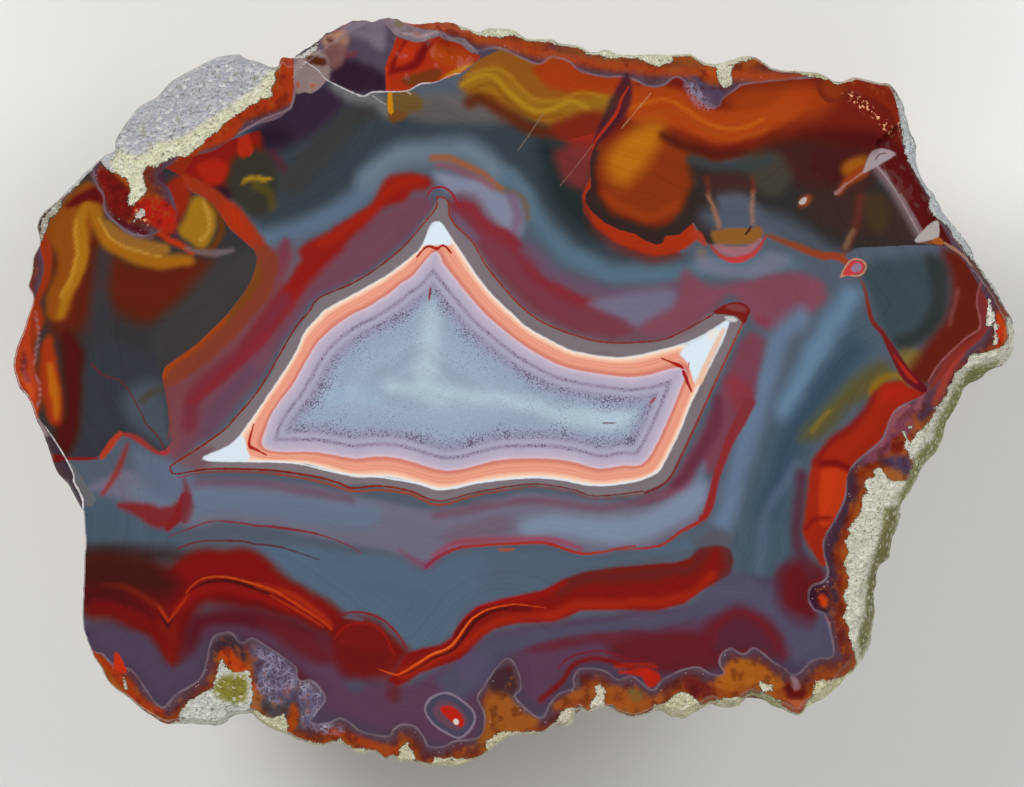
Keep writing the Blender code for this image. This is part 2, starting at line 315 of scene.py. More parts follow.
def rindRings(ring):
    outline = toMetres(ring[:, :2])
    drop = stone["rimDrop"] + stone["shelfSlope"] * ring[:, 2] * pixel
    tip = outline.mean(axis=0)
    full, half, quarter = stone["ringCounts"]
    crowding, easing = stone["ringCrowding"]
    total = full + half + quarter
    last = math.acos(stone["bottomRing"])
    rings, rocks = [], []
    for k in range(1, total + 1):
        turn = last * (k / total) ** (crowding - easing * min(1, max(0, k - full) / full))
        spread = math.cos(turn) ** (2 / stone["sidePower"])
        fall = math.sin(turn) ** (2 / stone["sidePower"])
        flat = tip + (rounder(outline, stone["rounding"] * fall) - tip) * spread
        height = (faceHeight - drop) - (faceHeight - drop + stone["tipTrim"]) * fall
        points = np.column_stack([flat, height])
        thin = 1 if k <= full else 2 if k <= full + half else 4
        points, start = points[::thin], (faceHeight - drop - height)[::thin]
        depth, rock = relief(points)
        strength = smoothStep(0, stone["reliefStart"], start)
        strength *= 1 - stone["tipCalm"] * smoothStep(0.75, 1, fall)
        inward = (np.array((*tip, faceHeight)) - points) * (1, 1, stone["inwardLift"])
        inward /= np.linalg.norm(inward, axis=1)[:, None]
        points = points + inward * (depth * strength)[:, None]
        points[:, 2] = np.maximum(points[:, 2], 0)
        rings.append(points)
        rocks.append(rock)
    return rings, rocks


def joinRings(upper, lower):
    # faces between two rings of vertex numbers, the lower with as many points or half
    faces = []
    count = len(lower)
    ratio = len(upper) // count
    for i in range(count):
        j = (i + 1) % count
        if ratio == 1:
            faces.append((upper[i], upper[j], lower[j], lower[i]))
        else:
            a, b, c = upper[2 * i], upper[2 * i + 1], upper[(2 * i + 2) % len(upper)]
            faces += [(a, b, lower[i]), (b, lower[j], lower[i]), (b, c, lower[j])]
    return faces


ring, inward = rimRing()
spots, triangles = cutSheet(ring, inward)
print("cut face:", len(spots), "points,", len(triangles), "triangles")


def sheetHeights():
    # how far each point lies under the cut face, and how far it is inside a chip
    far, _, along = pathField(spots, ring[:, :2], True)
    share = np.arange(len(ring) + 1) / len(ring)
    shelf = np.interp(along, share, np.append(ring[:, 2], ring[0, 2]))
    deep, reach = chipDepths(spots)
    drop = stone["rimDrop"] + stone["shelfSlope"] * shelf * pixel
    slope = np.clip(1 - far / np.maximum(shelf, 1.6), 0, 1)
    fall = np.maximum(drop * slope ** (1 + 0.5 * smoothStep(8, 20, shelf)), np.minimum(deep, drop))
    grit = noiseField(spots, stone["slopeGrit"])
    return np.maximum(0, fall + grit * smoothStep(0, 0.0006, fall) * (slope < 1)), reach


fallen, chipReach = sheetHeights()
rings, rocks = rindRings(ring)
print("rind:", sum(len(r) for r in rings), "points")


def buildStone():
    points = [np.column_stack([toMetres(spots), faceHeight - fallen])]
    faces = [tuple(t) for t in triangles]
    upper = np.arange(len(ring))
    offset = len(spots)
    for lowerPoints in rings:
        lower = offset + np.arange(len(lowerPoints))
        faces += joinRings(upper, lower)
        points.append(lowerPoints)
        offset += len(lowerPoints)
        upper = lower
    faces.append(tuple(upper[::-1]))
    mesh = bpy.data.meshes.new("agateStone")
    mesh.from_pydata([tuple(p) for p in np.vstack(points)], [],
                     [tuple(int(i) for i in face) for face in faces])
    shape = bmesh.new()
    shape.from_mesh(mesh)
    bmesh.ops.recalc_face_normals(shape, faces=shape.faces)
    bmesh.ops.triangulate(shape, faces=[f for f in shape.faces if len(f.verts) > 4])
    print("open edges:", sum(1 for edge in shape.edges if len(edge.link_faces) != 2))
    shape.to_mesh(mesh)
    shape.free()
    for i, polygon in enumerate(mesh.polygons):
        polygon.material_index = 0 if i < len(triangles) else 1
    mesh.shade_smooth()
    mesh.set_sharp_from_angle(angle=math.radians(38))
    return mesh


stoneMesh = buildStone()
print("stone:", len(stoneMesh.vertices), "points,",
      sum(len(p.vertices) - 2 for p in stoneMesh.polygons), "triangles")


# the marks of the cut face: colours as seen (0 to 255), places in pixels of the view
face = {
    "ground": (82, 90, 103),
    "polishHaze": 0.012,             # what the polish reflects, taken off every colour
    # the soft areas wander by this sum of noises in x and in y: strength, size, seed of each
    "wander": (((2.4, 26.0, 31.0), (0.9, 8.0, 37.0)), ((2.4, 26.0, 41.0), (0.9, 8.0, 47.0))),
    # pixels between the points of a smoothed path
    "areaStep": 3.0, "lineStep": 1.6, "patchStep": 1.2, "edgeStep": 2.0,
    # the dark skin's colours by the pixels they lie outside the scalloped line, which wander too
    "rimShades": {0: (88, 68, 78), 4: (80, 58, 68), 10: (96, 50, 48), 15: (128, 58, 34),
                  23: (148, 74, 34), 34: (150, 90, 48)},
    "rimWander": ((7, 21.0, 5.0), (3, 7.0, 15.0)),
    "rockColour": (200, 198, 172),
    "crustEnd": 0.003, "rimLineEnd": 0.004,    # the share of the outline over which each ends
}
# areas of colour, each laid over the ones before: colour, softness of its edge (or one
# inside and one outside), share, outline; with a width (or widths along it) an area is a
# band along an open path
face["stains"] = {
    # top left
    "topSlate": ((58, 66, 73), 26, 1, "256,150 290,92 330,84 380,96 520,112 565,122 592,150 604,236 "
        "690,262 640,268 596,262 556,240 496,168 450,150 404,150 372,172 340,206 300,222 262,226 246,190"),
    "redTongue": ((146, 46, 36), 13, 1, "562,126 604,122 590,180 590,206 574,196 560,170 566,146"),
    "wedgeRed": ((138, 46, 28), 5, 1, "160,150 206,138 206,182 178,182 160,168"),
    "haze": ((100, 92, 88), 14, 0.8, "396,98 478,92 520,110 500,124 410,120"),
    "plum": ((56, 43, 58), 18, 1, "285,95 320,84 345,96 335,118 300,142 262,150 250,140"),
    "plumDeep": ((42, 30, 40), 22, 0.6, "248,130 270,126 292,132 286,148 262,154 250,148"),
    "plumRed": ((92, 38, 48), 10, 0.7, "255,154 272,157 284,168", 6),
    "oliveFold": ((62, 58, 54), 24, 0.8, "292,182 348,122 366,106", 24),
    "fractureHaze": ((116, 114, 116), 12, 0.8, "336,86 352,96 376,100 388,112", 13),
    "tabGlow": ((106, 82, 48), 5, 1, "390,92 414,92 424,104 412,114 390,114"),
    "tabFoot": ((112, 70, 36), 4, 1, "388,112 400,112 405,118 396,123 389,121"),
    "darkDip": ((42, 49, 50), 24, 1, "538,140 566,144 590,168 592,206 606,238 578,228 556,204 542,172"),
    "redTongueFoot": ((118, 50, 48), 15, 0.9, "556,150 592,146 590,184 580,190 566,182 557,168"),
    "fireHalo": ((104, 48, 44), (4, 14), 0.8, "592,214 604,232 640,255 656,258 676,254", 8),
    "blueLeft": ((88, 106, 126), 20, 1, "266,240 318,222 350,204 374,176", 18),
    "blueArc": ((104, 119, 134), 24, 1, "370,180 392,160 420,152 450,150 474,154 520,196", (16, 22, 16)),
    "blueFall": ((84, 108, 124), (22, 16), 1, "508,180 556,244 592,266 640,278 730,266 790,270", 18),
    "lavender": ((126, 130, 152), 12, 1, "436,172 470,178 504,192 520,206 522,232 508,236 490,226 476,210 "
        "444,188"),
    "oliveHook": ((112, 88, 70), 6, 0.8, "498,188 518,195 525,204 527,218", (4, 5, 3)),
    "mauveHook": ((118, 90, 112), 9, 0.8, "512,196 518,214 515,236 532,264", 6),
    "orangeStreak": ((152, 90, 58), (4, 7), 0.95, "433,157 451,159 472,168 502,187", (6, 7, 5, 3)),
    "pinkStreak": ((146, 78, 90), 5, 0.7, "438,165 458,170 492,188", (3, 5, 2)),
    # left of the eye's tip
    "mauveLeft": ((112, 70, 84), 12, 1, "428,196 434,206 424,220 380,262 345,284 316,296 296,320 256,382 "
        "214,430 178,460 168,452 168,392 196,376 222,350 286,264 312,244 350,232 410,196"),
    "mauveWest": ((120, 68, 74), 16, 1, "262,256 292,246 300,290 262,340 222,380 190,402 180,440 168,446 "
        "160,380 236,318 256,284"),
    "greyGap": ((94, 100, 118), 10, 0.8, "300,240 298,262 290,280", 7),
    "pinkGap": ((120, 58, 76), 8, 0.9, "286,242 282,260 272,282", 8),
    "redSwath": ((140, 36, 32), 9, 1, "304,246 359,213 373,201 386,180 394,174 426,175 433,183 426,189 "
        "412,191 404,200 389,206 376,216 318,274 270,336 250,350 238,352 294,272 302,258"),
    "redSwathHot": ((156, 42, 26), 10, 0.8, "420,180 400,183 386,194 374,210 342,232 322,242",
        (6, 8, 9, 5)),
    "maroonLeft": ((116, 50, 62), 12, 0.9, "284,300 246,350 200,388 192,404 190,426", 16),
    "redThread": ((132, 44, 52), (4, 12), 0.8, "266,336 231,368 196,400", (8, 12, 12, 6)),
    "duskInner": ((96, 68, 86), 12, 0.8, "250,372 220,408 206,430", 14),
    # around the eye
    "mauveBelt": ((110, 76, 88), 14, 1, "452,196 474,198 500,226 566,280 606,292 650,290 690,282 720,296 "
        "716,312 690,330 640,344 596,344 546,328 512,300 452,222"),
    "zone": ((120, 110, 115), 3, 1, "172,470 172,465 210,440 235,418 260,388 284,347 301,321 319,298 "
        "334,292 376,269 407,243 426,220 441,197 449,204 452,220 472,241 496,278 529,313 571,334 621,343 "
        "661,340 691,327 714,313 742,318 742,326 696,425 676,466 668,480 645,493 596,497 571,490 538,485 "
        "513,487 473,494 438,502 410,492 380,487 339,484 317,478 293,474 240,470 190,473 176,475"),
    "maroonRight": ((118, 58, 70), 9, 1, "456,203 469,204 478,212 484,222 506,233 518,243 538,271 571,296 "
        "628,319 632,332 604,334 572,328 546,316 522,298 502,276 454,212"),
    "maroonEdge": ((132, 46, 54), (6, 16), 0.9, "463,204 476,210 484,222 520,246 534,266 556,286 616,314",
        (6, 9, 10, 8, 4)),
    "lilacStart": ((108, 88, 108), 8, 0.8, "456,212 468,222 478,238 470,240 458,226"),
    "mauveUnder": ((104, 80, 100), 14, 0.9, "528,250 560,276 600,290 644,294 690,286", 10),
    "lilacPool": ((112, 108, 132), 14, 0.95, "588,304 650,290 676,292 690,306 674,322 646,328"),
    "mauvePatch": ((124, 72, 86), 12, 1, "684,270 706,284 729,284 779,272 812,276 828,296 812,313 787,326 "
        "762,328 736,298 722,298 690,328 664,336 640,332 652,318 676,302"),
    "rosePatch": ((116, 60, 72), 8, 0.8, "576,308 604,312 628,322 620,334 594,334 574,324"),
    "smallRose": ((132, 58, 74), 5, 0.8, "753,316 764,317 768,324 758,325"),
    "paleShelf": ((114, 114, 134), 12, 0.9, "700,252 722,262 748,264 770,252 790,262 760,276 722,276 "
        "696,268"),
    "tipFill": ((112, 84, 90), 8, 1, "170,470 174,462 190,452 212,446 208,466 190,472"),
    "oliveSpot": ((116, 106, 94), 7, 0.7, "696,247 706,250 704,258 697,256"),
    # the eye's pale heart
    "heart": ((150, 166, 184), 16, 1, "320,346 434,276 520,352 580,384 650,392 656,402 640,440 600,446 "
        "560,440 500,444 448,454 400,444 290,440 298,400"),
    "heartStreak": ((168, 186, 200), 18, 1, "428,292 432,320 426,378 440,396", (8, 14, 20, 26, 20)),
    "heartPool": ((168, 187, 201), 14, 1, "392,388 520,402 556,414 600,420 632,420",
        (8, 16, 16, 12, 14, 24, 20)),
    "heartPoolEnd": ((174, 194, 208), 8, 0.9, "590,416 606,419 628,418", (10, 18, 12)),
    "heartLeft": ((152, 174, 196), 12, 0.8, "330,400 350,392 376,396", 14),
    # right of the eye
    "rightSlate": ((70, 88, 102), 34, 1, "850,300 880,350 862,384 830,420 808,460 800,520 806,560 790,600 "
        "760,600 736,570 738,530 748,480 764,430 790,380 820,330"),
    "lightColumn": ((98, 118, 142), 20, 1, "800,318 774,352 724,520", (20, 24, 20, 12)),
    "lightRight": ((98, 124, 148), 22, 1, "850,296 816,352 786,410", (18, 24, 16)),
    "deepColumn": ((58, 76, 92), 22, 0.95, "852,350 798,428 768,510", (14, 20, 24, 16)),
    "paleStripe": ((80, 95, 113), 10, 0.9, "797,466 767,512 760,560 764,596", (4, 8, 8, 6)),
    "rightRose": ((118, 66, 80), 10, 1, "748,334 764,342 758,376 751,404 714,470 700,466 690,490 672,498 "
        "632,507 648,494 670,484 702,430 732,362"),
    "rightRoseDeep": ((98, 48, 64), 9, 0.8, "718,400 712,430 688,474 676,484", (10, 14, 12, 6)),
    "rightRoseRed": ((134, 56, 66), 10, 0.9, "728,376 748,384 754,402 742,414 730,400"),
    "vInside": ((106, 116, 140), 12, 1, "704,462 700,490 690,510 668,520 640,526 660,508 690,490"),
    # under the eye
    "underEye": ((108, 104, 122), 8, 1, "88,486 130,470 176,482 250,480 320,488 436,510 513,494 560,496 "
        "640,506 676,496 700,486 708,500 704,516 650,548 620,549 602,553 579,553 546,543 473,546 455,549 "
        "425,566 400,556 360,546 240,522 186,526 84,510"),
    "underBlue": ((100, 114, 134), 16, 0.9, "130,490 180,486 250,490 372,504 360,530 240,514 180,516"),
    "palePool": ((122, 136, 156), 16, 1, "520,522 552,514 600,518 648,512 704,480 704,504 678,524 646,540 "
        "606,544 560,536 528,536"),
    "mauveUnderLine": ((114, 78, 94), 7, 0.8, "436,516 490,505 520,501 562,503 600,508 632,503 664,494",
        (6, 8, 6, 5, 4, 6, 7)),
    "mauveStreak": ((106, 80, 96), 8, 0.8, "196,484 240,482 300,490 350,500", (4, 6, 4)),
    "greyFold": ((110, 94, 110), 12, 0.9, "440,536 470,522 500,514 514,524 500,536 462,544"),
    "vTip": ((124, 74, 96), 7, 0.9, "398,548 424,562 448,549 425,570"),
    "lowSlate": ((82, 100, 118), 10, 1, "176,560 200,550 240,543 300,546 350,552 400,560 425,572 455,554 "
        "505,550 552,551 600,558 644,553 690,534 712,530 690,548 600,564 560,577 540,589 478,604 462,616 "
        "450,634 420,648 402,650 392,628 370,614 340,612 310,592 240,562 200,558"),
    "lowSlateRight": ((80, 90, 106), 34, 0.6, "490,556 552,556 610,562 510,594 482,594"),
    "leftSlate": ((74, 88, 103), 14, 1, "84,496 120,500 150,516 176,532 176,550 150,552 84,544"),
    "lilacLeft": ((96, 104, 124), 14, 1, "134,448 190,470 186,500 160,498 140,480"),
    "greyCorner": ((88, 84, 94), 10, 0.9, "690,540 714,528 728,534 728,546 706,546"),
    # lower left
    "lowBase": ((78, 64, 82), 14, 1, "80,626 180,618 240,622 330,650 400,690 470,668 500,640 600,616 "
        "690,606 740,576 840,600 840,670 800,690 700,690 560,710 480,750 400,745 300,730 160,720 90,680"),
    "leftDark": ((56, 42, 40), 20, 0.9, "84,544 176,550 180,560 84,562"),
    "domeLeft": ((110, 28, 21), 17, 1, "84,562 124,560 166,566 188,553 208,549 256,553 286,579 344,614 "
        "372,622 408,650 398,664 380,676 352,672 334,658 326,636 300,622 226,606 200,608 184,648 173,662 "
        "138,634 112,620 84,612"),
    "brownLeft": ((68, 33, 28), 28, 1, "84,556 130,554 160,564 176,584 160,598 84,588"),
    "domeHot": ((124, 30, 19), 16, 1, "178,568 192,558 240,552 266,562 290,582 334,608 330,620 280,590 "
        "250,580 210,574 190,582"),
    "domeGlow": ((156, 48, 20), 6, 0.9, "256,584 280,591 300,600 316,611 330,625", (3, 6, 7, 6)),
    "underLine": ((136, 32, 19), 9, 1, "176,608 190,598 216,588 250,593 286,606 318,626", (6, 9, 9, 4)),
    "maroonLow": ((88, 33, 42), 22, 1, "184,630 200,612 240,606 290,616 330,636 350,664 340,692 308,690 "
        "250,638 226,630 206,634 194,660 184,656"),
    "vGlow": ((120, 34, 20), 12, 1, "158,622 178,622 177,642 171,664"),
    "leftShade": ((76, 28, 22), 18, 0.9, "84,588 112,592 142,606 150,616 118,606 84,604"),
    "redSill": ((114, 27, 18), 9, 0.9, "96,604 122,610 148,626 168,646", (5, 10, 12, 8)),
    "lilacLow": ((80, 66, 84), 12, 1, "92,634 126,630 152,640 168,668 190,656 206,640 200,676 172,700 "
        "150,692 134,670 112,662 100,650"),
    # low middle
    "mauveLow": ((90, 62, 82), 14, 1, "204,634 226,626 320,642 345,676 400,684 440,670 500,632 680,610 "
        "712,616 700,646 650,668 600,660 560,676 545,706 520,692 500,665 484,690 474,740 430,742 328,712 "
        "320,690 262,642 225,632"),
    "maroonSpur": ((100, 36, 42), 16, 0.9, "262,618 300,628 326,646 334,664 306,660 280,642"),
    "tail": ((100, 42, 46), 9, 0.7, "388,678 400,684 397,702 385,698"),
    "greySpot": ((74, 76, 92), 9, 0.8, "344,682 356,678 366,684 356,692"),
    "lilacSwath": ((80, 77, 96), 12, 1, "436,680 470,658 496,636 668,612 704,596 738,572 776,606 740,606 "
        "700,618 640,630 560,640 510,654 490,676 460,700"),
    "lilacPocket": ((86, 76, 102), 10, 0.9, "456,654 476,652 492,664 484,684 462,682"),
    "streakLow": ((100, 46, 58), 8, 1, "524,652 556,640 630,631 668,638 640,648 590,644 552,652"),
    "maroonBed": ((98, 38, 44), 14, 1, "610,646 650,634 690,632 776,650 740,664 690,672 650,672 618,660"),
    "scallopRed": ((122, 30, 27), 4, 1, "541,700 564,677 572,667 583,661 599,659 632,668", 5),
    "lens": ((180, 42, 22), 2.6, 1, "618,672 630,670 644,669 656,672 662,679 654,686 646,685 640,677"),
    "lensStreak": ((172, 46, 25), 3, 0.9, "616,667 634,665 656,667", (2, 3, 2)),
    "domeTwo": ((114, 33, 32), 20, 1, "334,638 346,625 366,623 381,630 402,664 384,678 346,672 334,654"),
    "domeTwoShade": ((100, 32, 32), 14, 0.6, "336,650 360,648 384,656 380,672 350,668"),
    # lower right
    "rightLow": ((82, 78, 99), 16, 1, "726,574 836,610 840,650 820,668 790,660 766,646 752,630 708,604"),
    "domeRight": ((88, 44, 58), 10, 1, "714,650 716,626 738,614 760,620 772,638 776,656 760,648"),
    "domeRightArc": ((102, 36, 44), 14, 0.9, "706,642 714,624 738,612 760,620 774,636 782,654", 12),
    "lobe": ((100, 34, 39), 13, 1, "780,568 800,560 822,568 826,590 812,600 816,620 800,618 784,606 "
        "777,586"),
    "lobeEdge": ((88, 46, 60), 10, 0.5, "790,560 778,580 778,600 792,618 810,626", 8),
    "halo": ((88, 44, 56), 12, 0.8, "802,476 797,530 800,556 812,572", (2, 5, 9, 10)),
    "greenGlow": ((92, 82, 46), 18, 0.85, "800,436 812,440 830,432 850,408 878,392 892,376 886,362 868,368 "
        "846,384"),
    "yellowRim": ((148, 108, 28), 7, 0.8, "872,392 880,380 894,375 908,380", (4, 6, 5)),
    "yellowFleck": ((132, 104, 44), 4, 0.8, "813,432 822,418 830,410", (3, 4, 2)),
    "oliveDrop": ((122, 102, 56), 10, 1, "902,346 922,350 930,366 922,384 908,374 900,360"),
    # right
    "greySlope": ((62, 73, 80), 18, 1, "862,266 900,258 932,260 942,296 928,330 904,346 886,334 872,306"),
    "darkSlope": ((50, 54, 54), 14, 0.9, "926,256 946,262 950,296 938,328 922,342 900,350 892,338 914,330 "
        "932,300"),
    "maroonSlope": ((98, 38, 30), 14, 1, "942,250 966,256 986,284 1006,322 996,346 966,352 944,364 928,384 "
        "908,372 944,318 952,284"),
    "scarletBand": ((138, 52, 46), 7, 1, "986,288 988,310 984,332 950,366 928,398", (8, 10, 12, 14, 12, 8)),
    "slopeStreak": ((136, 80, 76), 4, 0.6, "958,290 956,302 951,314 949,326", (2, 3, 3, 1)),
    "roseShelf": ((122, 54, 58), 6, 0.9, "982,282 981,304 983,326", 5),
}
# panes, which end crisply: edge, softness of that edge and a colour of its own if it has one,
# then its areas
face["panes"] = {}
# the fiery lip that shows below the amber window
face["panes"]["windowFire"] = {
    "soft": 4, "colour": (160, 52, 28), "edge": "594,172 587,184 582,197 584,212 595,228 611,240 630,250 "
        "652,257 672,255 688,247 698,238 694,224 660,214 620,206 600,190",
    "lip": ((112, 44, 38), 6, 0.9, "583,204 592,226 610,242 632,252 654,258 674,255", 6),
}
# everything right of the vein, over the crisp rim of the amber window
face["panes"]["glass"] = {
    "soft": 1.2, "edge": "628,60 632,84 622,100 616,114 593,148 590,163 591,188 586,193 585,201 591,211 "
        "605,223 620,230 635,234 646,241 656,245 663,243 665,236 679,235 694,222 700,234 717,254 730,259 "
        "740,259 752,254 762,244 767,235 820,256 842,258 856,248 914,245 950,246 1000,240 960,60",
    "redBrown": ((112, 38, 22), 14, 1, "596,160 622,66 700,60 800,60 900,70 912,120 918,170 900,168 "
        "880,150 850,164 780,150 740,156 704,172 690,204 664,226 640,232 612,226 580,206"),
    "orangeBay": ((148, 60, 22), 24, 1, "728,94 780,82 832,90 830,108 800,122 748,124"),
    "maroonBay": ((82, 30, 20), 18, 1, "800,134 840,128 884,134 896,152 810,152"),
    "amber": ((130, 54, 22), 20, 1, "600,150 640,130 676,136 696,150 692,190 676,214 640,220 612,208 "
        "600,186"),
    "roof": ((164, 66, 26), 9, 1, "612,90 650,84 690,92 712,108 760,108 790,92 806,108 776,128 740,142 "
        "704,140 664,124 630,120"),
    "glow": ((176, 104, 24), 22, 1, "606,160 624,136 648,122 666,130 636,178 614,182"),
    "fireRim": ((146, 60, 22), 10, 0.9, "606,196 630,212 654,218 676,206", 10),
    "floor": ((54, 45, 42), 10, 1, "590,190 612,213 640,225 662,227 680,212 694,186 716,186 716,240 "
        "690,246 640,250 584,224"),
    "purpleEdge": ((56, 42, 42), 8, 1, "594,152 591,170 593,186 588,200 600,216 622,228 660,240", 7),
    "darkBand": ((84, 36, 22), 9, 1, "664,136 690,148 724,154 760,154 796,146", (5, 9, 10, 8)),
    "bowl": ((52, 49, 49), 14, 1, "690,160 730,164 780,156 820,156 856,176 880,172 926,244 900,268 860,256 "
        "816,250 780,230 740,190 704,196"),
    "purpleBrown": ((68, 40, 38), 22, 1, "764,146 800,138 850,148 874,162 862,190 824,196 766,166"),
    "brownSeat": ((62, 46, 42), 24, 0.9, "800,196 860,190 912,214 916,246 870,240 826,226"),
    "bowlOlive": ((70, 66, 58), 14, 0.9, "748,156 780,154 792,176 776,196 752,184"),
    "pool": ((60, 66, 68), 10, 0.9, "692,160 716,166 742,168 768,160", (6, 10, 10, 5)),
    "maroonSeat": ((70, 44, 42), 14, 0.8, "698,176 724,172 752,178 748,192 716,192"),
    "greyWindow": ((80, 87, 99), 24, 1, "700,214 722,208 762,210 796,222 830,246 856,258 826,256 740,224 "
        "714,230"),
    "oliveTinge": ((72, 56, 38), 14, 0.8, "862,196 880,196 890,216 880,232 866,222"),
    "rightRed": ((88, 28, 24), 6, 1, "872,166 884,160 900,146 920,150 936,190 956,224 952,246 926,240 "
        "908,216 890,186"),
    "facetLight": ((124, 106, 110), (1.5, 11), 0.9, "878,167 901,200 920,233", (5, 7, 8, 8, 6)),
    "darkWing": ((72, 34, 34), 12, 0.9, "812,152 840,146 868,154 862,176 830,182 812,172"),
    "lensGlow": ((150, 84, 30), 9, 1, "842,172 848,160 866,156 868,168 856,180"),
    "vivid": ((166, 62, 24), 16, 0.7, "790,86 814,86 816,102 792,104"),
    "arcs": ((180, 92, 32), 3, 0.9, "628,110 650,102 673,102 694,115 721,128 746,127 762,119",
        (2, 4, 4, 3)),
    "arcsLow": ((160, 76, 28), 3, 0.8, "640,120 664,112 684,116 702,128 726,138 750,136 768,128",
        (2, 3, 3, 2)),
    "redFall": ((112, 48, 38), 8, 0.6, "860,196 857,218 852,236 846,248", (6, 6, 5, 3)),
    "redFallFoot": ((138, 112, 80), 5, 0.7, "852,232 848,240 845,247", 4),
    "beak": ((140, 62, 32), 5, 1, "864,170 850,180 838,192", (10, 9, 5)),
    "haloSpot": ((150, 70, 36), 5, 0.9, "798,206 800,198 808,193 812,199 806,206"),
    "flameLeft": ((168, 110, 84), 4, 0.8, "710,194 714,210 719,226", (3, 4, 3)),
    "flameRight": ((168, 110, 84), 4, 0.8, "753,190 752,205 751,222", (3, 4, 3)),
    "flameTips": ((112, 50, 38), 5, 0.7, "707,178 710,192", (2, 5)),
    "flameTip": ((112, 50, 38), 5, 0.7, "753,178 753,190", (2, 5)),
    "cup": ((136, 90, 44), 2.5, 1, "711,238 716,229 748,228 757,226 763,233 758,242 748,245 730,246 "
        "718,243"),
    "cupRose": ((156, 104, 112), 3, 1, "712,244 730,247 750,246 764,238 756,250 744,256 728,256 718,252"),
    "rimOrange": ((140, 66, 38), (3, 7), 1, "768,236 785,241 802,249 820,254 846,258", (3, 5, 7, 8)),
}
face["panes"]["ochreTop"] = {
    "soft": 1.6, "edge": "456,80 464,74 478,58 500,44 560,50 620,66 640,80 630,86 612,116 600,132 560,142 "
        "500,134 466,112 454,94",
    "base": ((140, 84, 34), 13, 1, "466,70 486,50 520,52 646,76 598,126 540,122 466,92"),
    "red": ((160, 60, 22), 9, 1, "534,68 560,58 600,64 636,76 624,94 600,96 570,92 546,84"),
    "ochre": ((146, 100, 34), 11, 1, "466,82 482,68 500,70 540,98 616,94 606,116 576,116 548,124 520,112 "
        "500,98 468,90"),
    "under": ((92, 44, 28), 13, 0.95, "470,102 486,102 530,128 560,132 592,130", (3, 9, 10, 12)),
    "redTongue": ((120, 44, 32), 12, 1, "552,132 566,118 604,112 594,150"),
    "waveA": ((162, 116, 38), 3.4, 0.85, "466,76 482,69 497,68 508,73 520,86 533,97 545,100 565,98 578,92 "
        "606,97", (2, 3, 3, 2)),
    "waveB": ((170, 128, 38), 4, 0.9, "462,84 478,76 492,76 504,85 515,97 527,107 540,112 556,108 570,101 "
        "588,108", (2, 4, 5, 4, 2)),
    "waveC": ((126, 76, 26), 3, 0.8, "470,90 490,84 502,92 514,106 530,116 546,118 562,114", (2, 3, 3, 2)),
}
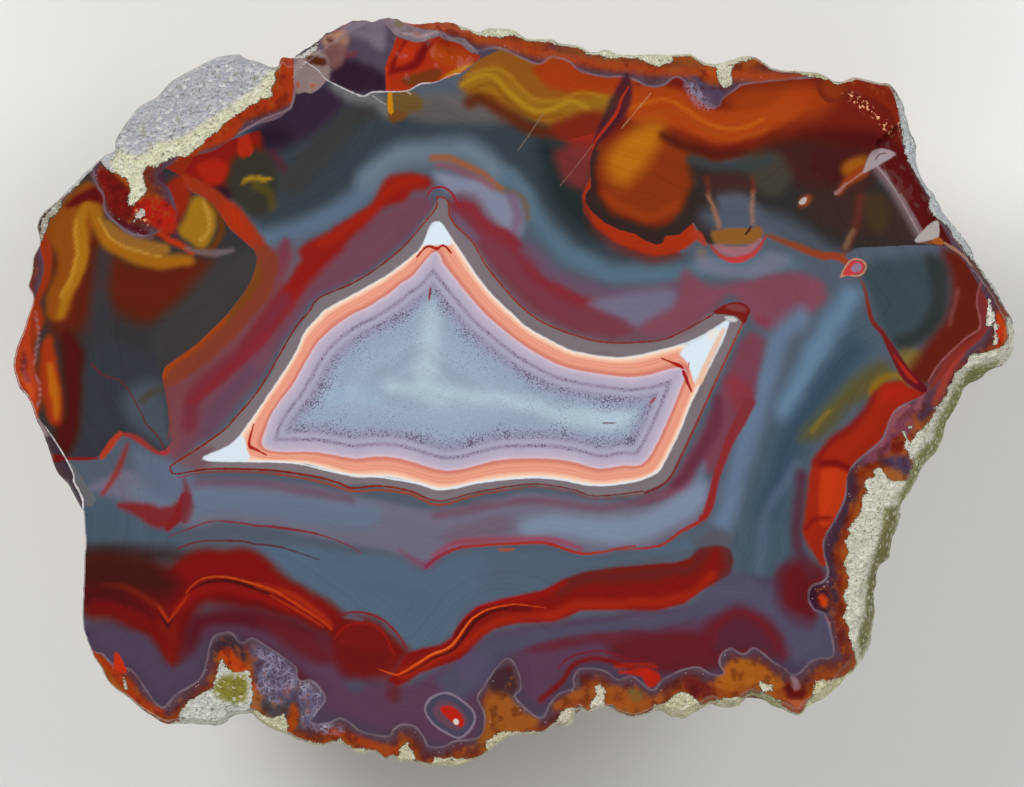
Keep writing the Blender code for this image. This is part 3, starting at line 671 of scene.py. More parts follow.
face["panes"]["leftWindow"] = {
    "soft": 1.2, "colour": (56, 53, 56), "edge": "181,176 184,184 192,192 207,199 214,205 230,229 254,250 "
        "257,257 256,266 252,279 246,290 226,316 196,345 165,367 162,375 168,408 171,440 166,451 158,453 "
        "135,437 124,434 113,443 104,455 85,460 60,458 40,470 0,420 0,140 100,150 160,165",
    "redBrown": ((94, 38, 24), 24, 1, "60,236 100,232 130,262 205,258 214,276 185,306 150,322 118,312 "
        "100,296 82,330 50,330"),
    "darkSide": ((63, 60, 59), 20, 1, "216,262 252,246 262,262 244,300 165,372 152,336 178,300"),
    "slateStrip": ((58, 57, 62), 14, 0.8, "104,252 101,290 104,350 112,400", 17),
    "lowDark": ((56, 58, 64), 20, 1, "92,346 130,346 160,366 170,440 120,436 92,460 56,460"),
    "blueFoot": ((78, 87, 98), 22, 0.8, "126,392 160,384 172,440 158,446 128,420"),
    "oliveStreak": ((72, 66, 54), 7, 0.8, "142,400 152,392 168,390", 7),
    "rimRed": ((152, 54, 22), 6, 1, "30,236 44,224 52,250 50,280 40,300 44,320 36,340 36,370 41,392 34,416 "
        "0,400 0,236"),
    "rustRise": ((138, 74, 26), 9, 1, "46,226 80,184 96,186 98,210 72,300 62,322 48,318 46,296 58,262"),
    "ochreFall": ((160, 106, 32), 6, 1, "88,204 80,224 82,258 76,276 66,294 60,316", (10, 14, 13, 12, 7)),
    "ochreFallEdge": ((186, 136, 50), 3.5, 0.8, "76,222 75,244 76,260 70,278 60,296", (2, 3, 3, 2)),
    "ochreLip": ((156, 98, 30), 8, 1, "96,204 100,226 110,242 126,251 158,261 188,260", (12, 17, 18, 12)),
    "ochreLipUpper": ((146, 98, 44), 6, 1, "108,224 124,238 140,246 164,248", (10, 16, 13)),
    "ochreLine": ((190, 140, 60), 2.6, 0.8, "100,218 108,234 122,246 142,252 160,256", (2, 2.6, 2)),
    "emberWall": ((158, 54, 16), 8, 1, "44,338 54,344 64,420 50,424 42,400 38,372"),
    "emberGlow": ((174, 94, 24), 6, 1, "50,366 54,392 57,416", (7, 10, 6)),
    "emberShade": ((80, 26, 16), 14, 1, "62,336 80,346 82,380 74,446 60,452 56,430 66,410"),
    "rimLine": ((168, 116, 122), 2, 0.8, "35,312 38,340 35,356 31,369 36,378 40,388 38,402 34,410", 2),
    "darkLip": ((94, 24, 14), 6, 1, "64,206 80,192 100,186 104,206 90,200 76,206"),
    "upperRed": ((142, 44, 24), 8, 1, "98,170 126,190 140,208 178,176 190,196 178,228 160,236 140,232 "
        "118,220 104,204"),
    "purpleFold": ((84, 44, 60), 4, 0.9, "156,166 162,184 160,200 172,208 178,220 176,234", 7),
    "redBlob": ((166, 46, 24), 8, 1, "150,206 162,200 176,210 178,226 168,232 154,228"),
    "crescent": ((152, 108, 34), 7, 1, "192,198 206,198 216,214 215,232 204,248 190,243 178,232 186,216"),
    "crescentEdge": ((110, 58, 20), 6, 0.9, "208,198 220,214 222,232 210,250 196,250", 6),
    "crescentLine": ((192, 148, 70), 2.6, 0.8, "203,204 209,216 208,230 200,241", (1.5, 3, 2)),
    "streakFire": ((174, 54, 24), 3, 1, "154,230 182,246 192,252", (2, 5, 6, 4)),
    "streakLilac": ((118, 100, 106), 4, 0.8, "186,248 204,252 220,252 232,250", (2, 6, 8, 4)),
    # painted shade: the dark line under the red lump, the same as lumpShade on the rim
    "darkPit": ((50, 26, 34), 3, 1, "116,217 124,218 136,228 148,236", 6),
    "lilacHem": ((124, 92, 96), 2.5, 0.8, "90,172 96,185 104,196 104,206 109,216 119,223 128,233 141,239 "
        "153,237", 2),
    "rustHem": ((166, 92, 58), 5, 0.9, "84,166 70,188 52,206 42,226", (4, 7, 5)),
}
face["panes"]["tongue"] = {
    "soft": 1.2, "edge": "181,176 184,184 192,192 207,199 214,205 230,229 254,250 257,257 256,266 252,279 "
        "246,290 226,316 196,345 165,367 162,375 168,408 172,446 200,440 300,330 310,220 260,130 200,150",
    "ember": ((132, 34, 18), 9, 1, "168,160 200,146 238,124 258,126 262,152 256,174 226,188 180,174"),
    "dusk": ((56, 54, 48), 14, 1, "236,156 262,150 276,170 274,200 262,216 244,212 226,190"),
    "duskPurple": ((52, 30, 40), 8, 0.9, "198,180 216,180 232,190 226,200 206,192"),
    "fire": ((148, 54, 34), (5, 24), 1, "178,178 214,202 254,248 262,262 258,278",
        (12, 20, 26, 28, 28, 22, 12)),
    "fireRed": ((168, 50, 28), 12, 0.8, "226,206 250,240 256,250", (5, 10, 8, 4)),
    "redPatch": ((160, 40, 20), 7, 1, "196,166 214,158 228,166 222,182 206,184"),
    "redShelf": ((166, 46, 20), 2.4, 1, "240,134 247,131 250,138 253,151 250,157 240,158 236,146"),
    "rustShade": ((128, 62, 46), (4, 26), 1, "260,262 256,282 244,300 206,340 166,370", 36),
    "wall": ((122, 68, 36), (4, 16), 1, "258,268 254,284 218,326", (8, 12, 12, 8)),
    "wallLow": ((152, 66, 22), (4, 16), 1, "222,322 168,364 163,376", (5, 9, 11, 12, 8)),
    "yellowDash": ((166, 124, 38), 2.6, 1, "243,184 248,180 269,179", (2.5, 5.5, 5.5, 3.5)),
    "dashHaze": ((84, 74, 36), 8, 0.8, "256,186 268,192 272,206", (10, 8, 4)),
}
# the scarlet slope at the lower right, crisp along the rim's line
face["panes"]["slope"] = {
    "soft": 1.4, "edge": "860,568 824,566 780,572 780,470 800,440 850,400 880,370 928,388 917,408 904,403 "
        "892,418 879,443 872,447 856,461 850,469 847,478 847,488 845,497 824,541 824,558",
    "red": ((154, 44, 22), 4.5, 1, "878,389 883,383 892,381 903,381 909,386 924,392 924,420 890,450 "
        "860,480 850,510 834,540 832,570 822,566 812,552 806,540 804,524 810,477 813,463 818,451 855,422 "
        "866,410"),
    "redTop": ((166, 42, 20), 6, 0.9, "886,388 910,390 918,398 884,404"),
    "bright": ((186, 58, 20), 4, 1, "821,474 828,468 846,470 846,492 841,506 832,522 820,524"),
    "crease": ((116, 27, 15), 6, 1, "822,462 834,463 848,470", (4, 8, 3)),
    "creaseLow": ((122, 30, 16), 4, 0.8, "806,528 816,519 830,518", (3, 4, 2)),
    "edgeDark": ((128, 36, 34), 6, 0.9, "876,392 866,410 849,428 828,444 814,462", (3, 6, 7, 5)),
}
# the scarlet swath under the eye
face["panes"]["swath"] = {
    "soft": 4.5, "colour": (126, 32, 24), "edge": "406,653 422,648 439,645 451,638 457,626 465,616 477,606 "
        "500,599 543,590 563,579 583,572 613,567 676,562 689,558 700,547 717,545 730,548 734,560 731,574 "
        "705,589 684,604 656,611 629,610 580,611 566,618 553,622 513,624 493,630 484,636 461,659 419,674 "
        "406,683 397,686 388,680 398,668",
    "fade": ((92, 50, 54), 14, 0.9, "722,530 770,530 770,612 716,612 716,584 724,566"),
    "fadeTop": ((84, 52, 56), 12, 0.9, "560,576 600,564 690,550 716,540", 7),
    "shade": ((102, 40, 38), 12, 1, "560,590 583,580 680,570 704,556", (6, 12, 12, 8)),
    "foot": ((152, 42, 20), 9, 1, "404,674 462,646 482,630 512,618 552,616 580,604 640,604 684,596 712,576",
        (6, 8, 8, 10, 10, 8)),
    "crest": ((146, 32, 22), 6, 0.9, "462,618 480,606 540,594 566,582", (4, 7, 7, 4)),
    "pit": ((92, 24, 18), 5, 0.9, "458,634 470,620 484,612 500,609 530,609", (3, 6, 5, 2)),
}
# the dark skin outside the scalloped line; its edge is the field "core"
face["panes"]["rim"] = {
    "soft": 1.3,
    "rightTop": ((122, 42, 26), 5, 1, "812,74 850,76 892,82 904,104 904,140 890,120 872,104 852,94 832,104 "
        "820,94"),
    "laceBed": ((84, 72, 90), 6, 1, "250,644 270,648 292,664 300,684 322,692 326,704 308,724 290,704 "
        "280,712 266,700 256,680"),
    "lumpDark": ((112, 32, 20), 6, 1, "98,170 122,182 136,206 128,220 108,208"),
    "lump": ((162, 38, 18), 5, 1, "134,206 150,198 168,202 177,214 175,226 166,232 152,226 138,218"),
    "lumpShade": ((80, 32, 36), 3, 1, "116,218 138,231 148,237", 6),
    "orangeLeft": ((154, 54, 24), 6, 1, "284,57 294,58 294,96 284,106 250,118 238,132 224,142 200,152 "
        "184,166 176,160 236,112 272,92"),
    "topRed": ((166, 66, 32), 9, 0.8, "390,24 440,26 590,62 800,80", 12),
    "topBrown": ((120, 70, 46), 7, 0.7, "560,48 600,58 650,60 700,66", 5),
    "blob": ((80, 66, 86), 6, 1, "684,80 694,84 706,98 722,104 722,90 706,84 696,76"),
    "leftRim": ((164, 60, 34), 5, 1, "26,300 36,300 38,340 34,366 40,396 36,420 22,400 10,370 14,340"),
    "rustLeft": ((196, 80, 38), 4, 0.9, "24,378 28,386 30,396", 6),
    "lilacRim": ((132, 62, 72), 4, 0.8, "25,360 24,370 27,380", 5),
    "lowLeft": ((152, 56, 24), 6, 1, "92,652 122,680 140,702 160,714", (8, 12, 12, 10)),
    "lowLeftEdge": ((158, 90, 36), 5, 0.8, "98,664 120,690 140,708 166,722", 5),
    "fingerRing": ((62, 46, 54), 6, 1, "226,636 238,642 246,652 240,664 226,650 214,660 212,646"),
    "fingerGlow": ((172, 64, 24), 5, 1, "219,654 228,648 238,656 248,670 258,690 224,662"),
    "brownFoot": ((76, 70, 74), 6, 1, "262,700 284,698 302,706 300,728 280,724 264,712"),
    "spike": ((152, 66, 28), 3, 1, "286,726 290,706 294,702 299,712 297,728"),
    "rimRust": ((156, 62, 32), 5, 0.9, "330,730 372,744 396,752", (6, 5, 10, 12)),
    "knobRing": ((66, 46, 52), 6, 1, "490,676 502,668 512,672 516,690 508,700 494,696"),
    "knobGlow": ((148, 84, 38), 8, 1, "496,692 510,696 522,710 540,722 520,732 492,728 486,708"),
    "knobTail": ((140, 80, 36), 8, 1, "484,700 500,720 498,744 484,756 478,740 486,720"),
    "lowRim": ((150, 80, 38), 7, 1, "556,706 580,694 610,690 640,702 660,700", (8, 10, 10, 8)),
    "lowGreen": ((112, 92, 52), 4, 0.9, "626,690 636,688 644,696 634,700"),
    "redLow": ((104, 40, 36), 5, 1, "684,678 700,680 712,692 700,702 688,692"),
    "glowLow": ((162, 90, 36), 6, 1, "714,686 722,672 734,660 752,662 770,672 784,684 768,690 744,684 "
        "730,692"),
    "shadeLow": ((96, 32, 27), 5, 1, "786,684 798,682 806,694 798,702 786,696"),
    "drop": ((140, 112, 120), 2.5, 0.9, "793,676 799,680 800,689 795,691 792,684"),
    "tip": ((166, 86, 56), 4, 1, "782,702 796,700 810,702 804,716 790,714"),
    "lobeRing": ((58, 34, 46), 5, 1, "808,590 822,584 830,596 828,612 816,612 808,602"),
    "lobeGlow": ((188, 62, 24), 4, 1, "819,596 826,596 828,606 821,607"),
    "lobeGlowLow": ((184, 64, 24), 3, 1, "822,618 828,620 828,630 823,628"),
    "bayPurple": ((66, 46, 58), 6, 1, "850,476 848,500 836,530 828,556 836,600", (9, 9, 10, 9, 8)),
    "bayRust": ((150, 72, 34), 4, 0.8, "862,490 858,508 848,528 842,546 846,566 844,600 846,612",
        (3, 4, 4, 5, 3)),
    "bayRed": ((118, 44, 30), 5, 0.8, "852,510 842,536 838,560 842,590 838,626 844,652", 5),
    "roseEdge": ((132, 76, 88), 5, 1, "926,388 916,410 902,408 890,424 884,440 866,454",
        (4, 8, 10, 9, 8, 5)),
    "roseBody": ((118, 64, 80), 7, 1, "906,414 914,424 904,440 890,452 872,462 860,474 866,458 884,446 "
        "890,430"),
    "duskBody": ((76, 58, 76), 7, 1, "942,384 930,404 916,418 926,420 948,388"),
    "duskPocket": ((76, 60, 82), 6, 1, "880,462 908,474 912,466 906,456 884,458"),
    "brownEye": ((110, 38, 30), 5, 1, "892,440 902,432 906,446 900,454 892,452"),
    "rustNook": ((126, 50, 24), 4, 1, "858,470 872,462 880,462 876,474 864,480"),
    "skinRed": ((150, 58, 50), 6, 1, "962,350 948,374 934,404", (8, 9, 8, 7, 5)),
    "redTip": ((186, 54, 24), 3, 1, "1000,312 1005,330 1000,346 994,350 996,330 996,316"),
    "redTipSoft": ((178, 96, 58), 4, 0.8, "1003,326 1008,332 1004,344"),
}
face["panes"]["topChip"] = {
    "soft": 1.0, "colour": (80, 70, 84), "edge": "285,50 293,58 294,84 297,95 304,92 312,94 320,88 327,80 "
        "356,94 365,96 374,92 406,91 420,84 436,82 451,75 461,73 478,60 500,50 480,49 459,40 439,34 419,40 "
        "394,32 384,17 384,0 280,0",
    "lilac": ((112, 100, 114), 9, 1, "340,20 376,14 386,26 382,50 366,40 348,34"),
    "plumHole": ((50, 36, 47), 12, 1, "328,62 346,56 384,74 386,92 352,92 330,80"),
    "rosePale": ((154, 112, 98), 5, 1, "322,34 344,28 350,40 342,48 326,46"),
    "roseDown": ((122, 82, 78), 7, 0.9, "326,44 346,44 342,62 330,70 324,58"),
    "holeSpot": ((84, 50, 40), 2, 1, "326,37 331,35 333,40 328,42"),
    "redFleck": ((122, 48, 62), 5, 0.7, "345,52 356,49 356,54 347,57"),
    "crumb": ((138, 118, 116), 3, 1, "293,58 316,50 326,58 328,80 318,92 296,94"),
    "rustHole": ((86, 44, 28), 2, 1, "304,53 324,60 323,68 314,66 307,63"),
    "rustDots": ((170, 82, 44), 2, 1, "293,82 298,80 300,86 294,86"),
    "rustDot": ((176, 92, 56), 2, 1, "311,85 315,84 316,88 312,88"),
}
face["panes"]["redWing"] = {
    "soft": 1.0, "colour": (158, 50, 24), "edge": "395,35 415,41 424,40 430,37 439,35 447,40 459,42 470,52 "
        "482,56 462,73 433,83 415,86 406,91 386,92 385,66 388,56 393,46",
    "leftEdge": ((172, 50, 22), 3, 1, "394,40 389,54 386,68 387,86", 5),
    "streak": ((110, 24, 20), 2.5, 1, "407,38 393,64 390,74", (2, 4, 3)),
    "panel": ((170, 52, 22), 6, 1, "406,42 416,44 412,58 402,64 398,58"),
    "streakBig": ((112, 24, 22), 5, 1, "427,42 421,54 414,63 394,70", (8, 9, 7, 3)),
    "rust": ((160, 64, 30), 6, 1, "434,44 452,46 470,56 460,66 440,66 430,56"),
    "brown": ((108, 56, 32), 6, 1, "400,78 420,72 440,70 436,82 412,86"),
    "yellow": ((178, 122, 34), 4, 1, "442,76 478,60 462,72 450,76"),
}
face["panes"]["glassBand"] = {
    "soft": 1.2, "colour": (122, 106, 114), "edge": "379,16 391,15 420,27 438,29 450,36 464,38 480,54 "
        "470,52 459,42 447,40 439,35 430,37 424,40 415,41 402,37 394,33",
    "green": ((104, 102, 74), 3, 0.9, "394,18 402,20 402,26 395,24"),
    # painted highlight: this pale streak along the band's upper edge stands for the glints there
    "pale": ((156, 136, 142), 3, 0.8, "404,32 422,35 440,31 456,39", 3),
    "dark": ((86, 80, 86), 2.5, 0.8, "446,34 458,40 468,47", 2.5),
}
face["panes"]["leftChip"] = {
    "soft": 0.9, "colour": (70, 56, 64), "edge": "38,418 46,427 62,452 73,473 74,482 83,502 83,518 70,510 "
        "40,470 20,420",
    "pinkTop": ((142, 122, 122), 4, 1, "32,412 44,424 48,436 40,434"),
    "redNick": ((114, 30, 26), 3, 1, "50,455 62,455 64,461 54,462"),
    "greyFoot": ((84, 80, 86), 6, 1, "64,478 72,484 78,500 80,514 70,500"),
}
face["panes"]["halfRound"] = {
    "soft": 2.0, "colour": (116, 44, 30), "edge": "816,86 820,97 828,103 838,103 846,97 850,88 842,80 "
        "830,74 818,76",
    "inner": ((134, 54, 30), 6, 1, "822,84 828,96 838,97 845,86 834,78"),
}
face["panes"]["hazeTriangle"] = {
    "soft": 1.6, "colour": (102, 102, 106), "edge": "64,455 73,465 97,500 92,506 84,506 74,476",
}
# lines: colour (or colours along it), width (or widths along it), softness, share, path
face["lines"] = {
    "hairline": ([(128, 44, 30), (118, 40, 32), (140, 56, 40), (120, 44, 36)], (1.8, 1.5, 1.5, 1.7, 1.5),
        1.1, 1, "171,471 172,465 199,448 224,430 235,418 260,388 294,330 309,312 319,298 351,284 376,269 "
        "395,254 407,243 434,211 437,203 437,197 441,197 446,199 449,204 449,214 452,220 457,227 472,241 "
        "487,267 513,298 529,313 546,324 571,334 596,341 621,343 641,342 661,340 677,334 707,318 714,313"),
    "hairlineRight": ([(150, 62, 46), (136, 58, 52), (112, 44, 44)], (1.8, 2.2, 2.4), 1.4, 1,
        "744,323 737,335 686,446 668,480 645,493"),
    "hairlineLow": ([(116, 50, 44), (112, 54, 50), (122, 50, 36), (130, 45, 30), (120, 42, 32),
        (118, 40, 30)], (1.4, 1.4, 1.4, 2.2, 2.2, 1.8), 1.0, 1, "645,491 596,496 571,489 538,484 513,486 "
        "473,493 438,501 410,491 380,486 352,488 339,483 317,477 293,473 266,470 210,469 176,474 170,469"),
    "hairlineTwin": ([(128, 70, 62), (132, 68, 56), (146, 68, 42), (150, 70, 40), (142, 66, 42),
        (128, 56, 42)], (0.8, 0.8, 1.4, 2.6, 2.2, 2.4, 1.8, 1), 1.6, 0.9, "645,494 596,499 571,492 538,487 "
        "513,489 473,496 438,505 410,494 380,490 352,491 317,481 266,473 210,472 176,478"),
    "secondArc": ((148, 40, 50), (1.6, 2.2, 2.4, 1.8), 1.4, 1, "427,197 429,192 434,188 441,187 447,189 "
        "453,195 460,208"),
    "redLine": ([(126, 54, 76), (152, 48, 44), (166, 54, 32), (162, 48, 36), (160, 56, 44), (140, 66, 62)],
        (4, 3.4, 2.8, 3.0, 3.4, 3.0, 2.6, 2), 1.8, 1, "425,568 435,559 455,549 473,546 521,543 546,543 "
        "579,553 602,552 620,548 636,546"),
    "redLineGlow": ((154, 58, 78), (3, 7, 5, 6, 4), 7, 0.75, "432,556 453,544 473,541 546,539 582,549"),
    "redLineFleck": ((158, 78, 52), (1, 4, 3, 1), 2, 0.9, "497,549 503,550 516,549"),
    "redLineRight": ([(140, 62, 58), (152, 56, 50), (158, 50, 46)], (1, 2.5, 3, 4), 1.8, 1,
        "612,550 658,546 680,532 699,522"),
    "redStroke": ([(126, 52, 60), (138, 48, 50), (148, 44, 42)], (12, 12, 10, 8.5, 7.5, 7, 8.5, 6), 3.2, 1,
        "750,400 742,418 732,436 723,458 716,478 711,500 706,514 700,520"),
    "bowTop": ((126, 42, 42), (0.8, 1.6, 1.6, 1.8, 2.8, 2.2, 1, 0.8), 1.6, 0.9,
        "168,537 199,525 215,521 240,523 258,526 275,527 317,534 350,546 362,554"),
    "bowLow": ([(112, 42, 38), (96, 34, 34), (72, 46, 48)], (1.6, 2.2, 2, 1.2), 2, 0.85,
        "176,549 190,544 205,541 240,541 255,544 280,547 320,560"),
    "orangeThread": ([(166, 56, 26), (188, 74, 28), (182, 62, 25), (168, 54, 24)],
        (1.4, 2.2, 2, 2.4, 3, 2.6), 1.8, 0.95, "185,594 192,586 200,580 210,577 225,577 240,580 270,589 "
        "285,597 322,621 332,630"),
    "orangeTwin": ((164, 52, 24), (1, 2.4, 3, 2), 2.4, 0.8, "268,594 298,611 324,627"),
    "threadShade": ((66, 18, 14), (1, 3, 3, 2), 2.2, 0.9, "192,590 205,583 218,581 230,581 242,584 "
        "270,594"),
    "vOrange": ([(96, 34, 22), (112, 38, 22), (128, 42, 22)], (3, 6, 6, 4), 6, 0.8,
        "100,585 120,586 135,592 163,609"),
    "vLeft": ((166, 54, 24), (1.5, 3, 3.4, 2), 2.6, 0.9, "158,606 163,613 168,622"),
    "vRight": ((164, 52, 24), (2, 3.4, 2.6, 1.4), 2.4, 0.9, "168,622 183,602 189,594"),
    "vShade": ((72, 22, 12), (1, 3, 2.5, 1), 2, 0.9, "158,613 164,620 168,627 173,618"),
    "domeArc": ((130, 36, 42), (1.2, 2.4, 2.6, 1.4), 1.8, 0.95, "338,615 353,612 369,614 383,620 394,630 "
        "402,640 407,650"),
    "greyLens": ((92, 82, 94), (1, 5, 3), 2.6, 0.9, "343,618 352,617 363,620"),
    "domeTwoArc": ((142, 34, 30), (1.4, 2.6, 2.6, 1.4), 2, 0.9, "333,640 346,626 366,623 381,630 389,643 "
        "395,657"),
    "goldThread": ([(190, 66, 30), (214, 96, 40), (208, 84, 34), (180, 60, 30)],
        (1.2, 2.2, 2.4, 2.2, 1.6, 0.8), 1.2, 1, "378,669 393,674 402,673 431,655 444,650 454,643 469,622 "
        "479,614 489,609 506,605.3 518,604.4 546,608"),
    "threadUnder": ((62, 16, 13), (1, 2.4, 3, 1.4), 2, 0.85, "402,676 418,668 434,658 447,653 458,645 "
        "473,624 482,617 493,612 508,608"),
    "lowArc": ((118, 36, 42), (1.4, 2.4, 2.2, 1.2), 2, 0.9, "558,668 569,658 583,653 599,651 613,654 "
        "628,659 644,660"),
    "wingArc": ((116, 36, 42), (1.4, 2.6, 1.8), 3, 0.6, "714,646 717,628 728,616 742,613 758,619 771,636 "
        "778,652"),
    "fanStroke": ([(130, 50, 46), (142, 50, 38), (136, 48, 40)], (3, 6, 6, 4), 6, 0.9,
        "128,443 117,472 102,495"),
    "fanPeak": ((168, 62, 40), (5, 7, 5), 3, 1, "101,458 116,438 122,433"),
    "fanPeakRight": ((146, 56, 52), (4, 6, 4, 3), 3.5, 1, "124,434 136,438 158,453 167,451"),
    "redShelfLine": ((126, 36, 32), (2.4, 3.4, 2.4), 2.4, 1, "60,458 80,459 99,458"),
    "redFoot": ((124, 40, 40), (5, 12, 20, 22, 15, 8), 8, 0.95, "118,505 130,507 146,512 160,518 176,512 "
        "188,496"),
    "redFootTail": ((126, 38, 40), (10, 12, 6), 5, 0.95, "186,494 180,514 166,530"),
    "redWedge": ((116, 50, 58), (3, 8, 12, 8), 7, 0.85, "184,479 187,492 188,508 184,522"),
    "veinLeft": ((96, 46, 48), (2.6, 1.6, 1.4, 1.6, 2.2), 1.4, 0.9, "92,364 103,375 123,383 141,413 "
        "146,424 156,434 165,449"),
    "marginLeft": ((128, 58, 52), (1, 1.8, 1.4), 1.6, 0.8, "165,378 170,421 168,440"),
    "nodeLeft": ((166, 52, 56), (3, 5, 2), 2.5, 0.9, "161,452 166,453 170,447"),
    "veinRight": ([(112, 72, 62), (122, 50, 42), (112, 38, 38), (108, 34, 38), (96, 30, 40)],
        (1.6, 3.4, 4.2, 4.6, 5, 8, 11, 12, 8), 2, 1, "858,277 864,286 870,314 875,325 883,334 904,371 "
        "915,382 925,390"),
    "veinHeart": ([(150, 44, 34), (166, 44, 30), (158, 46, 36)], (1, 3, 4.5, 3), 1.8, 0.95,
        "893,354 907,373 917,383"),
    "veinTop": ((62, 36, 46), (6, 17, 22, 18, 12, 4), 7, 0.9, "627,74 624,92 616,110 594,146"),
    "veinTopHeart": ((166, 50, 34), (1.4, 3, 3.4, 2.6, 1.2), 1.6, 1, "629,86 621,100 616,114 597,139 "
        "592,150"),
    "tipFire": ((164, 58, 34), (8, 9, 3), 4, 0.9, "690,236 696,234 706,245"),
    "smile": ([(150, 60, 50), (182, 62, 58), (184, 64, 60), (160, 60, 48)], (1.2, 4, 7, 4, 1.2), 3, 1,
        "709,243 716,252 725,258 735,260 747,257 757,250 767,235"),
    "cupSlit": ((62, 42, 34), (2, 2.6, 1.6), 1.2, 1, "751,226 749,230 745,235"),
    "orangeRun": ([(126, 70, 52), (140, 64, 42), (150, 64, 40)], (2, 4, 5, 7, 6), 3.5, 1,
        "767,236 817,255 833,256 842,259 848,263"),
    "drop": ((194, 134, 102), 1.6, 1.4, 1, "840,277 849,262 856,259 863,261 866,267 863,273 857,276 "
        "848,275 840,277"),
    # a pale bruise along the right chip's break, painted lighter as an edge highlight
    "facetLine": ((158, 140, 142), (2, 1.6, 1.4, 1), 1.6, 0.7, "877,166 889,181 901,200 919,233"),
    "beakLine": ((168, 120, 100), (2.2, 1.8, 1), 1.8, 0.7, "866,170 855,178 840,189"),
    "flameStub": ((150, 112, 108), (4.5, 3, 1), 2.6, 0.8, "835,194 841,189 847,182"),
    "pinkRun": ((160, 118, 98), (2, 3, 2.4, 2), 1.8, 0.9, "943,242 960,253 973,266"),
    "roseSeam": ((150, 84, 84), (1.4, 2, 2.2, 1.8), 1.6, 0.8, "982,280 978,292 977,304 980,327 965,339 "
        "940,363 928,382"),
    # the fracture lines: pale bruises along the breaks, painted brighter as edge highlights
    "fractureTop": ((190, 186, 188), (0.8, 0.6, 1.0, 1.4, 1.6, 0.8, 1.1, 0.6, 0.3), 1.2, 0.9,
        "304,61 318,70 327,80 356,94 365,96 374,92 406,91 420,84 436,82 451,75 461,73"),
    "fractureFork": ((150, 148, 150), (1.6, 1.2, 0.8), 1.2, 0.8, "372,95 380,101 387,105"),
    "fractureForkTwo": ((180, 168, 150), (1.4, 1), 1.2, 0.8, "406,91 412,95"),
    "fractureLeft": ((214, 210, 208), (0.5, 0.9, 1.2, 1.0, 1.6, 2, 1.4), 1.2, 1,
        "45,426 62,452 73,473 74,482 79,491 83,502 82,515"),
    "yellowTab": ((190, 126, 32), (4.5, 5.5, 5), 1.8, 1, "390,93 390,103 391,113"),
    "lilacRimTop": ((128, 106, 114), (1.6, 2.4, 2.4, 1.6), 1.8, 0.8, "296,82 292,104 287,110 260,121 "
        "238,134"),
    "liveScratch": ((150, 128, 104), 0.9, 1.2, 0.5, "544,112 531,132 517,152"),
    "liveScratchTwo": ((150, 110, 96), 0.9, 1.2, 0.5, "594,143 578,164 560,186"),
    "liveScratchThree": ((188, 150, 110), 1.0, 1.2, 0.5, "651,93 636,111 621,129"),
}
# filled shapes over everything else: colour, softness, share, outline
face["patches"] = {
    "cap": ((118, 36, 32), 1.4, 1, "713,313 722,306 730,303 737,302 745,304 750,310 748,316 744,324 "
        "735,316"),
    "capTop": ((132, 70, 70), 3.5, 0.8, "726,306 736,304 745,307 746,312 736,311 727,309"),
    "wedgeTop": ((214, 228, 238), 2.2, 1, "438,221 423,244 436,245 452,243"),
    "wedgeRight": ((214, 228, 238), 2.6, 1, "729,321 714,331 686,347 680,354 686,361 690,370 694,382 "
        "698,382 710,360"),
    "wedgeCream": ((232, 224, 208), 4, 0.7, "708,332 718,330 716,338 708,340"),
    "wedgeLeft": ((214, 224, 234), 2.2, 1, "205,460 228,446 240,436 245,440 247,450 250,458 240,461"),
    "capWhite": ((206, 204, 206), 2.5, 0.85, "724,317 734,317 738,321 730,322"),
    "whiteSpot": ((176, 166, 160), 1.6, 1, "798.5,204 800,200 804,197.5 807,198 806,202 803,204.5"),
    # a painted highlight: the lens-shaped glare on the right chip's facet
    "lensHighlight": ((168, 154, 160), 2.2, 0.8, "863,172 870,154 878,149 886,149 896,153 891,158 868,171"),
    "dropRed": ((190, 62, 64), 1.4, 1, "843,275 851,262 857,261 863,263 864,268 861,273"),
    "dropHeart": ((140, 116, 138), 1.4, 1, "851,271 853,265 858,263 862,266 861,270 857,272"),
    "whiteDelta": ((166, 158, 154), 1.6, 1, "914,241 936,220 939,236 931,240"),
    "orangeDelta": ((156, 88, 40), 2, 1, "918,243 930,241 938,237 944,242 941,245 930,243"),
    "triangle": ((188, 52, 22), 2.4, 1, "116,651 127,671 120,672 114,667"),
    "smallEyeRing": ((132, 116, 132), 1.2, 0.9, "424,710 429,698 444,692 457,696 472,708 476,719 470,732 "
        "459,739 446,734 432,724"),
    "smallEyeDark": ((74, 70, 88), 1.4, 1, "426,710 431,700 444,694 456,698 470,709 474,719 468,730 "
        "459,737 447,732 434,723"),
    "smallEyeMauve": ((100, 70, 86), 2.4, 1, "433,711 437,703 447,700 456,704 466,714 467,724 459,730 "
        "448,727 438,720"),
    "smallEyeHeart": ((178, 42, 32), 2, 1, "440,708 451,706 461,714 464,722 462,727 456,725 446,717"),
    "smallEyeWhite": ((216, 200, 190), 1.4, 1, "453,720 457,719 459,723 455,725"),
}
